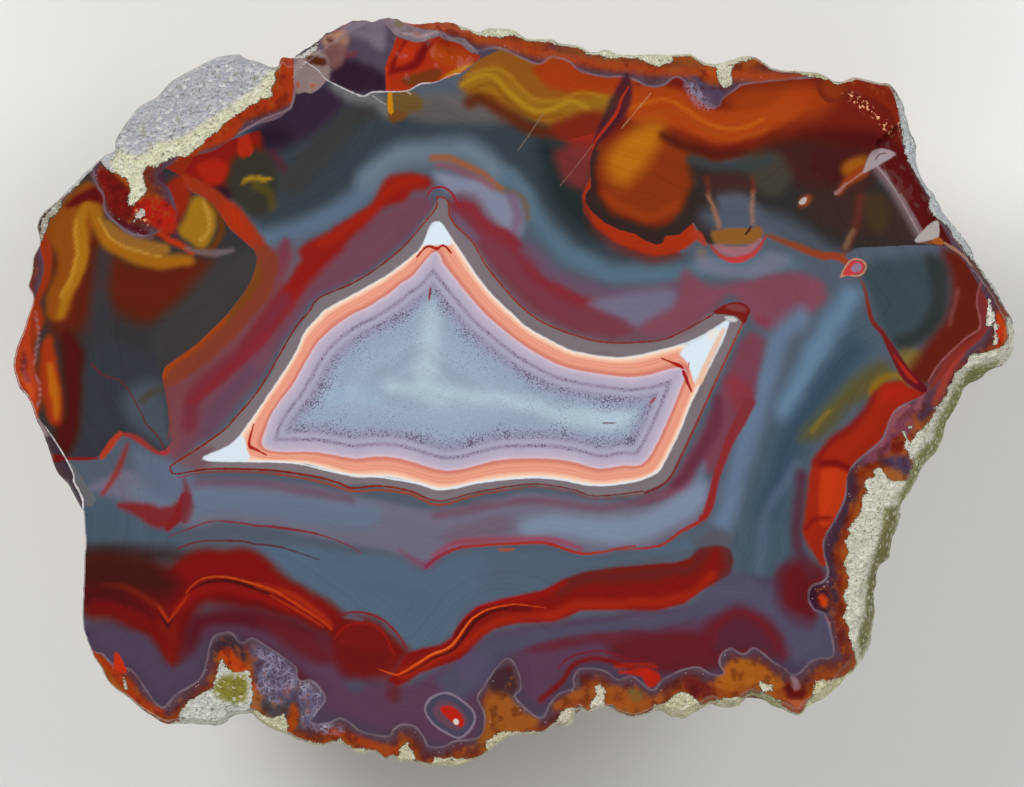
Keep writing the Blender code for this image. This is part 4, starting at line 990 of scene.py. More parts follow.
# and lines over everything else
face["strokes"] = {
    "crackTop": ((160, 40, 28), (1.4, 2, 2.2, 3.4, 2.2, 2, 1.6), 1.2, 1, "416,258 421,252 428,246 437,249 "
        "441,246 445,246 452,254"),
    "crackLeft": ((166, 40, 38), (1.4, 1.8, 2.2, 3.4, 2, 1.4), 1.2, 1, "254,423 249,444 255,449 267,455"),
    "crackRight": ((164, 36, 34), (1.4, 1.8, 2.4, 4.5, 2.4), 1.2, 1, "661,358 680,366 683,369"),
    "crackRightLow": ((158, 34, 38), (2.4, 4, 3, 2.2, 1.4), 1.2, 1, "683,370 687,381 692,393"),
    "crackDot": ((176, 60, 66), 1.6, 1.2, 0.8, "689,362 688,368"),
    "dashTop": ((130, 44, 58), (1.4, 2.4, 1.6), 1.2, 0.9, "431,286 430,293 429,301"),
    "dashRight": ((160, 62, 76), (2.6, 3, 2), 1.4, 0.9, "656,397 653,400 650,404"),
    "dashLow": ((116, 70, 86), (1, 2, 1), 1.2, 0.9, "602,423 609,423 617,423"),
    "fringeRight": ((230, 182, 150), (3, 6, 6, 7), 3.5, 0.85, "724,328 706,366 698,384"),
    "lowWhite": ((220, 228, 236), (1, 1.6, 1.8, 1.6, 1.2), 1.2, 0.9, "230,461 293,463 339,473 380,477 "
        "421,484 440,489.5 479,482.5 530,477.5 562,480 597,485.5 640,479.5 661,468"),
    "lensSlit": ((96, 62, 58), (1, 1.6, 1.4), 1.1, 0.9, "874,161 880,154 887,153"),
}
# host rock and pale skin, and two painted glints on the rock at the tip: colour, then its outline
face["rock"] = {
    "lump": ((186, 187, 193), "106,169 100,160 112,146 126,121 138,106 156,95 167,83 182,72 216,54 236,50 "
        "277,67 274,75 276,81 270,90 275,96 262,99 230,119 187,157 176,156 156,167 147,166 144,170 143,180 "
        "148,190 133,207 126,201 131,191 126,178"),
    "lumpCream": ((224, 222, 190), "109,162 120,150 140,156 158,142 180,138 256,88 268,72 276,70 274,75 "
        "276,81 270,90 275,96 262,99 230,119 187,157 176,156 156,167 147,166 144,170 143,180 148,190 "
        "133,207 126,201 131,191 126,178 116,174"),
    "whiteSkin": ((196, 198, 208), "61,196 66,188 94,158 96,164 86,176 66,196"),
    "greySkin": ((170, 160, 150), "36,250 42,220 60,198 62,206 50,220 40,246"),
    "crumbs": ((206, 200, 190), "133,222 137,212 144,208 147,214"),
    "chipCrust": ((206, 200, 200), "290,56 300,54 318,40 316,48 306,57 296,58"),
    "crustA": ((214, 212, 184), "468,26 480,30 496,27 512,28 528,34 530,38 512,36 498,38 472,34"),
    "crustB": ((208, 206, 176), "583,44 594,50 594,55 586,54"),
    "crustC": ((210, 208, 176), "596,50 634,52 636,58 602,58"),
    "crustD": ((212, 210, 180), "632,53 672,54 674,62 656,66 640,60"),
    "crustE": ((214, 210, 184), "700,58 709,62 735,59 744,56 750,60 734,64 731,74 733,85 724,89 717,80 "
        "718,68"),
    "crustF": ((196, 186, 152), "772,66 818,72 832,78 826,80"),
    "skinRight": ((200, 206, 212), "889,84 897,89 904,101 912,132 918,145 924,174 1003,295 1018,328 "
        "1008,334 1009,318 1001,301 981,270 953,236 949,227 934,215 930,208 930,197 907,158 896,99 893,88"),
    "tipRock": ((212, 210, 192), "1006,316 1018,326 1018,348 1012,360 985,378 972,384 968,396 950,430 "
        "944,449 929,464 904,508 891,562 880,570 877,603 878,620 869,653 860,670 848,636 849,626 843,618 "
        "847,606 843,595 848,586 848,576 843,563 849,552 844,541 851,534 848,529 861,513 862,497 867,493 "
        "863,481 874,477 874,471 880,467 889,480 895,482 909,481 915,469 914,460 910,454 909,447 911,440 "
        "930,422 937,407 948,394 948,387 953,382 954,374 967,363 969,355 987,353 1005,345 1008,336"),
    "tipShade": ((136, 138, 92), "974,366 990,364 1000,360 996,370 978,382 966,394 940,450 926,464 902,506 "
        "898,500 908,480 914,462 924,446 934,440 940,420 958,384"),
    "footShade": ((128, 126, 84), "884,508 900,506 898,528 888,566 878,584 876,616 870,640 862,660 858,640 "
        "866,610 868,580 882,530"),
    "branch": ((212, 206, 196), "902,432 906,432 914,455 914,462 910,458 907,450 903,447 906,443"),
    "branchBead": ((212, 206, 196), "909,427 912,425 914,428 911,430"),
    "star": ((214, 208, 182), "760,680 766,684 774,685 771,692 763,692 759,688"),
    "crustG": ((168, 170, 120), "750,692 765,694 780,700 784,711 773,708 760,700 750,698"),
    "crustH": ((204, 200, 160), "815,680 833,680 851,675 858,668 862,670 824,703 804,712 806,704 812,697"),
    "crustI": ((206, 200, 164), "654,705 668,702 676,694 684,692 694,697 700,704 712,704 714,708 682,722 "
        "668,719 656,712"),
    "crustJ": ((208, 202, 170), "708,703 724,698 741,697 744,706 728,712 712,708"),
    "crustK": ((214, 206, 182), "556,724 560,712 572,706 580,710 570,729 561,730"),
    "crustL": ((216, 208, 186), "596,685 601,684 606,693 604,703 609,709 606,716 592,715 590,706 595,698"),
    "crustM": ((206, 198, 164), "484,742 500,732 536,731 536,737 513,740 500,744 488,752"),
    "crustN": ((204, 198, 160), "430,768 434,758 474,758 482,760 458,769"),
    "crustO": ((206, 200, 168), "393,760 407,741 415,757 412,766 402,766"),
    "crustP": ((208, 202, 170), "335,746 339,735 344,743 354,748 369,749 375,755 353,755 341,747"),
    "crustQ": ((204, 200, 166), "252,706 262,715 275,718 283,712 288,724 288,736 312,742 334,744 332,750 "
        "306,747 270,732 256,724"),
    "footPale": ((206, 206, 198), "165,728 178,724 180,713 187,702 212,688 222,658 227,668 233,673 248,670 "
        "252,682 253,697 249,714 233,718 219,729"),
    "footGreen": ((140, 134, 62), "214,686 222,676 244,674 248,684 246,700 236,704 222,700 214,694"),
    "lowBead": ((196, 180, 160), "123,676 127,678 127,690 124,690"),
    "leftBead": ((204, 178, 158), "20,388 25,391 28,398 24,398"),
    "rimBead": ((200, 176, 150), "838,78 858,77 852,81 840,82"),
    "rimBeadTwo": ((196, 168, 140), "878,81 888,82 890,86 880,84"),
    # tipGlint and tipGlintTwo are painted highlights, the glare on the rock at the tip
    "tipGlint": ((226, 222, 216), "989,296 995,316 991,326 986,326"),
    "tipGlintTwo": ((224, 214, 204), "994,318 998,326 997,344 993,345"),
}
# stretches of the scalloped line that show pale: the spots of "core" they run between
face["rimRuns"] = ("240,133 815,78", "912,400 92,649", "93,162 156,233")
# the moss-like scribble at the lower left: softness, outline
face["lace"] = (
    (6, "252,648 268,651 284,660 292,672 290,690 276,702 262,696 256,680 262,664"),
    (5, "266,664 288,664 296,684 284,704 268,700 262,684"),
    (4, "300,686 318,684 320,706 306,728 300,712"),
    (3, "308,724 328,724 345,728 343,732 320,732"),
    (3, "684,84 694,84 704,96 716,104 712,110 694,104"),
)
# painted glints, bright specks of highlight: softness, outline
face["sparkle"] = (
    (3, "842,90 852,93 866,102 886,120 894,132 888,134 876,122 846,98"),
    (2, "898,118 903,124 905,134 900,130"),
    (2, "136,210 143,214 150,226 144,224"),
)
# a thin crust of host rock along the outline: width, the two places it runs between
face["crust"] = (
    (3.2, "456,22 760,58"),
    (2.0, "760,58 900,92"),
    (2.4, "869,653 166,728"),
    (1.0, "166,728 90,640"),
    (1.4, "26,286 55,201"),
)
# outlines that the shader measures distances from
face["fields"] = {
    "eyeOuter": "204,460 228,446 240,435 291,360 304,333 319,316 328,308 382,278 413,255 423,244 438,222 "
        "479,278 496,298 513,314 529,328 562,346 579,352 613,357 638,355 681,344 702,335 728,320 726,333 "
        "719,349 693,400 683,425 671,450 661,469 656,474 645,479 630,483 597,486 562,480 538,478 513,479 "
        "479,483 442,490 400,479 380,477 353,477 318,467 293,463",
    "eyeInner": "268,424 279,403 293,385 318,343 347,318 367,308 389,294 402,283 413,276 435,252 446,268 "
        "479,308 496,324 521,344 546,359 571,369 621,377 646,376 682,368 680,389 648,458 622,465 599,468 "
        "571,461 546,458 521,458 496,460 448,470 400,458 376,456 353,458 318,452 266,449",
    "core": "240,133 257,124 278,118 291,106 296,93 300,70 350,30 384,17 394,31 406,36 422,40 436,33 "
        "451,40 469,46 480,52 498,48 537,64 551,57 569,62 580,71 605,77 626,77 648,86 662,86 676,77 687,84 "
        "700,100 717,107 724,98 735,90 748,84 815,78 844,84 852,92 866,96 880,102 892,114 898,132 910,160 "
        "945,232 970,270 990,310 984,335 956,360 930,390 898,408 889,421 881,440 855,463 847,477 845,496 "
        "838,514 824,538 824,555 828,571 823,581 811,586 808,598 814,610 823,613 828,623 831,636 833,656 "
        "819,658 808,663 799,673 791,674 785,668 775,663 755,648 743,654 731,648 722,653 719,663 724,674 "
        "712,674 699,667 684,669 672,674 661,681 652,690 633,676 618,679 606,671 593,668 579,669 573,678 "
        "573,688 560,693 550,703 540,718 516,698 521,689 519,673 513,661 503,660 485,684 477,698 484,714 "
        "480,736 454,741 444,746 429,746 424,737 416,727 403,724 393,729 388,736 361,731 351,723 340,718 "
        "328,723 313,723 311,719 325,701 321,689 311,680 300,681 297,676 295,666 267,646 252,638 241,643 "
        "232,633 221,633 211,641 201,677 176,694 164,707 153,699 133,671 115,666 103,654 92,649 80,620 "
        "78,560 80,500 40,420 36,380 30,340 34,304 44,270 40,240 52,214 84,176 93,160 93,175 98,188 "
        "103,195 106,213 126,231 141,236 156,233 176,216 170,190 158,176 180,160 215,150",
}


def toLinear(colour):
    colour = np.clip(np.asarray(colour, float) / 255, 0, 1)
    linear = np.where(colour <= 0.04045, colour / 12.92, ((colour + 0.055) / 1.055) ** 2.4)
    return np.maximum(linear - face["polishHaze"], 0.0008)


def nearPath(path, margin):
    low, high = path.min(axis=0) - margin, path.max(axis=0) + margin
    return np.nonzero(((spots >= low) & (spots <= high)).all(axis=1))[0]


# the soft stains are read on a slightly wandering copy of the face's points
seen = spots + np.column_stack([noiseField(spots, layers) for layers in face["wander"]])


def widthsAlong(widths, along):
    widths = np.atleast_1d(widths)
    return np.interp(along, np.linspace(0, 1, len(widths)), widths)


def stain(canvas, colour, soft, share, text, width=None):
    # lays one soft colour over the canvas: an area, or with a width a band along a path
    closed = width is None
    path = smoothPath(readPath(text), face["areaStep"], closed)
    here = nearPath(path, np.max(soft) + (0 if closed else np.max(width)) + 4)
    if not len(here):
        return
    far, side, along = pathField(seen[here], path, closed)
    soft = np.where(side < 0, *np.broadcast_to(soft, 2))
    gap = far * side if closed else far - np.maximum(widthsAlong(width or 0, along), soft) / 2
    mask = share * (1 - smoothStep(-soft / 2, soft / 2, gap))[:, None]
    canvas[here] += (np.array(colour, float) - canvas[here]) * mask


class Layers:
    # stacks of marks for the shader: each point of the face has, for each layer, the
    # distance to a mark's middle line, the mark's half width there, its softness and colour
    def __init__(self, name):
        self.name, self.reach, self.tint = name, [], []
        self.top = np.full(len(spots), -1)

    def place(self, here):
        level = int(self.top[here].max()) + 1 if len(here) else 0
        self.top[here] = level
        while len(self.reach) <= level:
            empty = np.zeros((len(spots), 3))
            empty[:, 1:] = (-farAway, 1)
            self.reach.append(empty)
            self.tint.append(np.zeros((len(spots), 4)))
        return self.reach[level], self.tint[level]


panes, lines, strokes = Layers("pane"), Layers("line"), Layers("stroke")


def addPane(stack, gap, soft, colours, share=1.0):
    # a filled shape: its edge is where the gap is nothing, and it lies where it is negative
    here = np.nonzero(gap < 7)[0]
    reach, tint = stack.place(here)
    reach[here] = np.column_stack([np.maximum(0, gap[here] + 10), np.full(len(here), 10.0),
                                   np.full(len(here), soft)])
    tint[here] = np.column_stack([toLinear(colours[here]), np.full(len(here), share)])


def gapTo(path):
    gap = np.full(len(spots), farAway)
    here = nearPath(path, 9)
    far, side, _ = pathField(spots[here], path, True)
    gap[here] = far * side
    return gap


def addLine(stack, colour, width, soft, share, text):
    path = smoothPath(readPath(text), face["lineStep"], False)
    widest = np.max(width) / 2
    margin = widest + soft + 3.5
    here = nearPath(path, margin)
    far, side, along = pathField(spots[here], path, False)
    inside = far < margin
    here, far, side, along = here[inside], far[inside], side[inside], along[inside]
    half = widthsAlong(width, along) / 2
    # past its ends the mark is closed off
    for end, other in ((0, 1), (-1, -2)):
        out = path[end] - path[other]
        past = (spots[here] - path[end]) @ (out / np.hypot(*out))
        atEnd = along < 0.5 if end == 0 else along > 0.5
        half = np.where((past > 0) & atEnd, half - 1.3 * past, half)
    half -= 3 * np.maximum(0, far - widest - soft - 2)
    reach, tint = stack.place(here)
    reach[here] = np.column_stack([far * side, half, np.full(len(here), soft)])
    colours = toLinear(np.atleast_2d(colour))
    tint[here] = np.column_stack([*(widthsAlong(c, along) for c in colours.T),
                                  np.full(len(here), share)])


def between(run, path, along, blur):
    # 1 on the stretch of a closed path that runs between two spots, 0 off it
    begin, end = pathField(readPath(run), path, True)[2]
    return smoothStep(-blur, blur, np.minimum(along - begin, end - along))


def readFields():
    fields = {}
    for name, text in face["fields"].items():
        path = smoothPath(readPath(text), face["edgeStep"], True)
        far, side, along = pathField(spots, path, True)
        fields[name] = far * side
    # the last of them is the scalloped line: where it shows pale
    fields["rimShows"] = np.max([between(run, path, along, face["rimLineEnd"])
                                 for run in face["rimRuns"]], axis=0)
    return fields


def paintFace():
    ground = np.tile(np.array(face["ground"], float), (len(spots), 1))
    for area in face["stains"].values():
        stain(ground, *area)
    over = ground.copy()
    for pane in face["panes"].values():
        areas = dict(pane)
        edge, soft, colour = (areas.pop(key, None) for key in ("edge", "soft", "colour"))
        if edge:
            gap = gapTo(densePath(readPath(edge), face["edgeStep"]))
            canvas = over.copy()
            if colour:
                canvas[:] = colour
        else:
            gap = -fields["core"]
            away = fields["core"] + noiseField(spots, face["rimWander"])
            canvas = np.column_stack([np.interp(away, tuple(face["rimShades"]), side)
                                      for side in zip(*face["rimShades"].values())])
        for area in areas.values():
            stain(canvas, *area)
        addPane(panes, gap, soft, canvas)
        over[gap < 0] = canvas[gap < 0]
    for line in face["lines"].values():
        addLine(lines, *line)
    for colour, soft, share, text in face["patches"].values():
        gap = gapTo(smoothPath(readPath(text), face["patchStep"], True))
        addPane(strokes, gap, soft, np.tile(np.array(colour, float), (len(spots), 1)), share)
    for line in face["strokes"].values():
        addLine(strokes, *line)
    return ground


def paintRock():
    # the signed distance to the nearest rock outline, negative inside, and the rock's colour
    nearest = np.full(len(spots), farAway)
    canvas = np.tile(np.array(face["rockColour"], float), (len(spots), 1))
    for colour, text in face["rock"].values():
        gap = gapTo(densePath(readPath(text), face["edgeStep"]))
        nearest = np.minimum(nearest, gap)
        canvas += (np.array(colour, float) - canvas) * (1 - smoothStep(-3, 3, gap))[:, None]
    # a thin crust of it follows the outline between two places
    far, _, along = pathField(spots, ring[:, :2], True)
    for width, run in face["crust"]:
        ends = between(run, ring[:, :2], along, face["crustEnd"])
        nearest = np.minimum(nearest, far - width * ends + 6 * (1 - ends))
    return nearest, canvas


fields = readFields()
ground = paintFace()
rockGap, rockColour = paintRock()


def paintPatches(areas):
    patches = np.zeros(len(spots))
    for soft, text in areas:
        far, side, _ = pathField(seen, smoothPath(readPath(text), face["areaStep"], True), True)
        patches = np.maximum(patches, 1 - smoothStep(-soft / 2, soft / 2, far * side))
    return patches


lace, sparkle = paintPatches(face["lace"]), paintPatches(face["sparkle"])
print("marks:", *(len(stack.reach) for stack in (panes, lines, strokes)), "layers")


def storeOnMesh(name, values, kind, rest=0.0):
    values = np.asarray(values, np.float32)
    full = np.full((len(stoneMesh.vertices), values.shape[1]), rest, np.float32)
    full[:len(values)] = values
    layer = stoneMesh.attributes.new(name, kind, "POINT")
    layer.data.foreach_set("color" if kind == "FLOAT_COLOR" else "vector", full.ravel())


storeOnMesh("ground", np.column_stack([toLinear(ground), lace]), "FLOAT_COLOR")
storeOnMesh("rock", np.column_stack([toLinear(rockColour), np.ones(len(spots))]), "FLOAT_COLOR")
for stack in (panes, lines, strokes):
    for k, (reach, tint) in enumerate(zip(stack.reach, stack.tint)):
        storeOnMesh(f"{stack.name}Reach{k}", reach, "FLOAT_VECTOR")
        storeOnMesh(f"{stack.name}Tint{k}", tint, "FLOAT_COLOR")
storeOnMesh("eye", np.column_stack([fields["eyeOuter"], fields["eyeInner"], fields["core"]]),
            "FLOAT_VECTOR")
# chips and the slope at the rim
broken = np.maximum(smoothStep(0.00004, 0.0004, fallen), smoothStep(-2.5, -0.5, chipReach))
storeOnMesh("rim", np.column_stack([rockGap, fields["rimShows"], broken]), "FLOAT_VECTOR")
share = fields["eyeOuter"] / np.maximum(fields["eyeOuter"] - np.minimum(fields["core"], 0), 1)
follow = smoothStep(0.40, 0.62, share)           # the bands follow the rim rather than the eye
# its second channel holds where the painted glints lie
storeOnMesh("grow", np.column_stack([follow, sparkle, follow * 0]), "FLOAT_VECTOR")
rockBelow = np.concatenate([1 - smoothStep(-1, 3, rockGap), *(np.asarray(r) for r in rocks)])
storeOnMesh("rockShare", np.column_stack([rockBelow] * 3), "FLOAT_VECTOR")


# the finishes: colours as seen, ramps as place and colour
finish = {
    "coat": 0.7, "coatRoughness": 0.04, "gloss": 0.35, "specular": 0.1,    # the polished face
    "dulling": (0.9, 0.45),         # how dull a chip is, and the roughness that this adds
    "rockRelief": 0.0007, "rindRelief": 0.0009, "rindRoughness": 0.86, "rindSpecular": 0.3,
    "fray": 1.5,                    # pixels that the marks' edges sway
    "peachWidth": 23.0, "heartDepth": 60,      # pixels that the ramps of the eye span
    "peach": [(0.0, (214, 178, 184)), (0.06, (206, 134, 124)), (0.14, (206, 122, 106)),
              (0.26, (224, 150, 126)), (0.40, (232, 160, 136)), (0.46, (222, 142, 118)),
              (0.52, (232, 160, 136)), (0.62, (226, 148, 124)), (0.70, (234, 168, 142)),
              (0.80, (238, 190, 164)), (0.89, (242, 212, 192)), (0.95, (236, 220, 208)),
              (1.0, (206, 216, 224))],
    "heart": [(0.0, (206, 186, 200)), (0.05, (186, 174, 194)), (0.15, (174, 166, 188)),
              (0.20, (150, 138, 164)), (0.26, (168, 166, 188)), (0.34, (152, 148, 172)),
              (0.42, (148, 150, 174)), (0.58, (150, 164, 186))],
    "dots": (84, 62, 88),
    "dotShare": [(0.0, 0.0), (0.14, 0.1), (0.185, 1.0), (0.215, 1.0), (0.25, 0.35), (0.30, 0.45),
                 (0.35, 1.1), (0.46, 1.0), (0.62, 0.62), (1.0, 0.46)],
    "scallop": (126, 110, 120), "scallopDark": (74, 28, 24), "scallopRust": (152, 82, 36),
    "scallopSpeck": (186, 168, 176),
    "lace": [(0.35, (118, 114, 146)), (0.65, (170, 164, 186))], "glint": (226, 164, 122),
    "rockOlive": (146, 142, 92), "rockDark": (112, 110, 104), "rockLight": (238, 236, 224),
    "rockBelow": [(0.36, (168, 168, 168)), (0.46, (204, 200, 168)), (0.56, (150, 148, 104)),
                  (0.66, (200, 194, 160))],
    "rind": [(0.30, (62, 34, 28)), (0.42, (98, 54, 40)), (0.50, (126, 74, 52)),
             (0.58, (146, 98, 72)), (0.70, (176, 142, 112))],
    "rindBloom": (190, 180, 152), "rindPit": (52, 30, 26),
}


# nodes and node groups
def add(tree, kind, inputs=(), out=0, **settings):
    node = tree.nodes.new("ShaderNode" + kind)
    for key, value in settings.items():
        setattr(node, key, value)
    for slot, value in (inputs.items() if isinstance(inputs, dict) else enumerate(inputs)):
        if isinstance(value, bpy.types.NodeSocket):
            tree.links.new(value, node.inputs[slot])
        elif value is not None:
            node.inputs[slot].default_value = value
    return node.outputs[out]


def maths(tree, operation, *values, clamp=False):
    return add(tree, "Math", values, operation=operation, use_clamp=clamp)


def blend(tree, share, under, over):
    return add(tree, "Mix", {0: share, 6: under, 7: over}, 2, data_type="RGBA")


def fade(tree, value, low, high, top=1.0):
    # rises smoothly from 0 at low to top at high; low may be the larger one
    return add(tree, "MapRange", {0: value, 1: low, 2: high, 3: 0.0, 4: top},
               interpolation_type="SMOOTHSTEP")


def cloud(tree, place, scale, detail=2.0, rough=0.5, warp=0.0):
    return add(tree, "TexNoise", {"Vector": place, "Scale": scale, "Detail": detail,
                                  "Roughness": rough, "Distortion": warp})


def streak(tree, value, scale, detail=1.0):
    return add(tree, "TexNoise", {"W": value, "Scale": scale, "Detail": detail},
               noise_dimensions="1D")


def around(tree, value, size):
    # a noise of 0 to 1 turned into a swing of plus or minus half the size
    return maths(tree, "MULTIPLY", maths(tree, "SUBTRACT", value, 0.5), size)


def brighten(tree, colour, *swings):
    total = maths(tree, "ADD", 1.0, swings[0])
    for swing in swings[1:]:
        total = maths(tree, "ADD", total, swing)
    return add(tree, "VectorMath", {0: colour, 3: total}, operation="SCALE")


def tone(colour):
    return (*toLinear(finish[colour] if isinstance(colour, str) else colour), 1)


def ramp(tree, value, stops):
    # stops: place, then a colour of 0 to 255 or one number
    node = tree.nodes.new("ShaderNodeValToRGB")
    points = node.color_ramp.elements
    while len(points) < len(stops):
        points.new(1.0)
    for point, (place, colour) in zip(points, stops):
        point.position = place
        point.color = tone(colour) if isinstance(colour, tuple) else (colour, colour, colour, 1)
    tree.links.new(value, node.inputs[0])
    return node.outputs[0]


def attribute(tree, name, out):
    return add(tree, "Attribute", out=out, attribute_name=name)


def split(tree, vector):
    node = tree.nodes.new("ShaderNodeSeparateXYZ")
    tree.links.new(vector, node.inputs[0])
    return node.outputs


def group(name, inputs, outputs):
    tree = bpy.data.node_groups.new(name, "ShaderNodeTree")
    for socket, kind in inputs.items():
        tree.interface.new_socket(socket, in_out="INPUT", socket_type="NodeSocket" + kind)
    for socket, kind in outputs.items():
        tree.interface.new_socket(socket, in_out="OUTPUT", socket_type="NodeSocket" + kind)
    start, end = tree.nodes.new("NodeGroupInput"), tree.nodes.new("NodeGroupOutput")
    return tree, start.outputs, end.inputs


def use(tree, inner, inputs):
    node = tree.nodes.new("ShaderNodeGroup")
    node.node_tree = inner
    for slot, value in inputs.items():
        if isinstance(value, bpy.types.NodeSocket):
            tree.links.new(value, node.inputs[slot])
        else:
            node.inputs[slot].default_value = value
    return node.outputs


def markOverGroup():
    # lays one layer of marks over a colour
    tree, given, made = group("markOver", {"Under": "Color", "Tint": "Color", "Share": "Float",
                                           "Reach": "Vector", "Fray": "Float"}, {"Color": "Color"})
    away, half, soft = split(tree, given["Reach"])
    gap = maths(tree, "SUBTRACT", maths(tree, "ADD", half, given["Fray"]),
                maths(tree, "ABSOLUTE", away))
    mask = fade(tree, maths(tree, "DIVIDE", gap, soft), -0.5, 0.5)
    mask = maths(tree, "MULTIPLY", mask, given["Share"])
    tree.links.new(blend(tree, mask, given["Under"], given["Tint"]), made["Color"])
    return tree


def layOver(tree, colour, stack, here, fray):
    for k in inUse(stack, here):
        tint = add(tree, "Attribute", attribute_name=f"{stack.name}Tint{k}").node.outputs
        reach = attribute(tree, f"{stack.name}Reach{k}", "Vector")
        colour = use(tree, markOver, {"Under": colour, "Tint": tint["Color"], "Share": tint["Alpha"],
                                      "Reach": reach, "Fray": fray})["Color"]
    return colour


def bandingGroup():
    # fine growth bands that follow the eye inside and the scalloped rim outside, faint clouds
    # and a fine grain
    tree, given, made = group("growthBands", {"Under": "Color", "Away": "Float", "Core": "Float",
                                              "Follow": "Float", "Place": "Vector"},
                              {"Color": "Color"})
    slow = cloud(tree, given["Place"], 0.02, 3.0)
    away = maths(tree, "ADD", given["Away"], around(tree, slow, 34.0))
    core = maths(tree, "ADD", given["Core"], around(tree, slow, 12.0))
    near = maths(tree, "ADD", around(tree, streak(tree, away, 0.05, 2.0), 0.30),
                 around(tree, streak(tree, away, 0.30), 0.08))
    far = maths(tree, "ADD", around(tree, streak(tree, core, 0.06, 2.0), 0.44),
                around(tree, streak(tree, core, 0.26), 0.22))
    swing = add(tree, "Mix", {0: given["Follow"], 2: near, 3: far})
    tree.links.new(brighten(tree, given["Under"], swing, around(tree, slow, 0.14),
                            around(tree, cloud(tree, given["Place"], 0.6, 1.0), 0.06)),
                   made["Color"])
    return tree


def eyeGroup():
    # the banded eye: a peach band between two outlines, and a dotted blue-grey heart
    tree, given, made = group("bandedEye", {"Under": "Color", "Outer": "Float", "Inner": "Float",
                                            "Place": "Vector"}, {"Color": "Color"})
    sway = around(tree, cloud(tree, given["Place"], 0.16), 1.6)
    outer = maths(tree, "ADD", given["Outer"], sway)
    inner = maths(tree, "ADD", given["Inner"], sway)
    # across the peach band: 0 at its inner edge, 1 at the eye's outer edge
    width = maths(tree, "MINIMUM", maths(tree, "SUBTRACT", inner, outer), finish["peachWidth"])
    across = maths(tree, "DIVIDE", inner, maths(tree, "MAXIMUM", width, 1.0))
    across = maths(tree, "ADD", across, around(tree, streak(tree, inner, 0.5), 0.07))
    peach = ramp(tree, across, finish["peach"])
    deep = maths(tree, "MULTIPLY", inner, -1 / finish["heartDepth"])
    heart = ramp(tree, deep, finish["heart"])
    heart = blend(tree, fade(tree, deep, 0.36, 0.66), heart, given["Under"])
    density = ramp(tree, deep, finish["dotShare"])
    cells = add(tree, "TexVoronoi", {"Vector": given["Place"], "Scale": 0.62}, feature="F1")
    picked = maths(tree, "MULTIPLY_ADD", cloud(tree, given["Place"], 0.05, 2.0), 2.0, -0.5, clamp=True)
    size = maths(tree, "MULTIPLY", density, maths(tree, "MULTIPLY_ADD", picked, 0.36, 0.16))
    dots = fade(tree, maths(tree, "SUBTRACT", size, cells), -0.06, 0.06, 0.8)
    heart = brighten(tree, heart, around(tree, cloud(tree, given["Place"], 0.5), 0.16),
                     around(tree, cloud(tree, given["Place"], 0.05, 3.0), 0.14))
    heart = blend(tree, dots, heart, tone("dots"))
    eye = blend(tree, fade(tree, inner, 0.8, -0.8), peach, heart)
    tree.links.new(blend(tree, fade(tree, outer, 1.1, -1.1), given["Under"], eye), made["Color"])
    return tree


def rimLineGroup():
    # the pale scalloped line that the agate ends with, and white specks just outside it
    tree, given, made = group("scallopedLine", {"Under": "Color", "Away": "Float", "Shows": "Float",
                                                "Place": "Vector"}, {"Color": "Color"})
    away = maths(tree, "ADD", given["Away"], around(tree, cloud(tree, given["Place"], 0.14), 1.8))
    line = fade(tree, maths(tree, "ABSOLUTE", maths(tree, "SUBTRACT", away, 0.4)), 1.6, 0.4)
    strength = maths(tree, "MULTIPLY_ADD", cloud(tree, given["Place"], 0.05), 1.5, -0.25, clamp=True)
    line = maths(tree, "MULTIPLY", maths(tree, "MULTIPLY", line, strength), given["Shows"])
    outside = fade(tree, away, 3.0, 8.0)
    patch = cloud(tree, given["Place"], 0.085, 3.0, 0.62)
    colour = blend(tree, maths(tree, "MULTIPLY", fade(tree, patch, 0.49, 0.36, 0.5), outside),
                   given["Under"], tone("scallopDark"))
    colour = blend(tree, maths(tree, "MULTIPLY", fade(tree, patch, 0.53, 0.68, 0.5), outside),
                   colour, tone("scallopRust"))
    colour = blend(tree, line, colour, tone("scallop"))
    inside = fade(tree, maths(tree, "ABSOLUTE", maths(tree, "SUBTRACT", away, 3.6)), 3.8, 1.6)
    cells = add(tree, "TexVoronoi", {"Vector": given["Place"], "Scale": 0.24}, feature="F1")
    speck = fade(tree, maths(tree, "SUBTRACT", maths(tree, "MULTIPLY", strength, 0.3), cells),
                 -0.03, 0.10, 0.6)
    speck = maths(tree, "MULTIPLY", maths(tree, "MULTIPLY", speck, inside), given["Shows"])
    tree.links.new(blend(tree, speck, colour, tone("scallopSpeck")), made["Color"])
    return tree


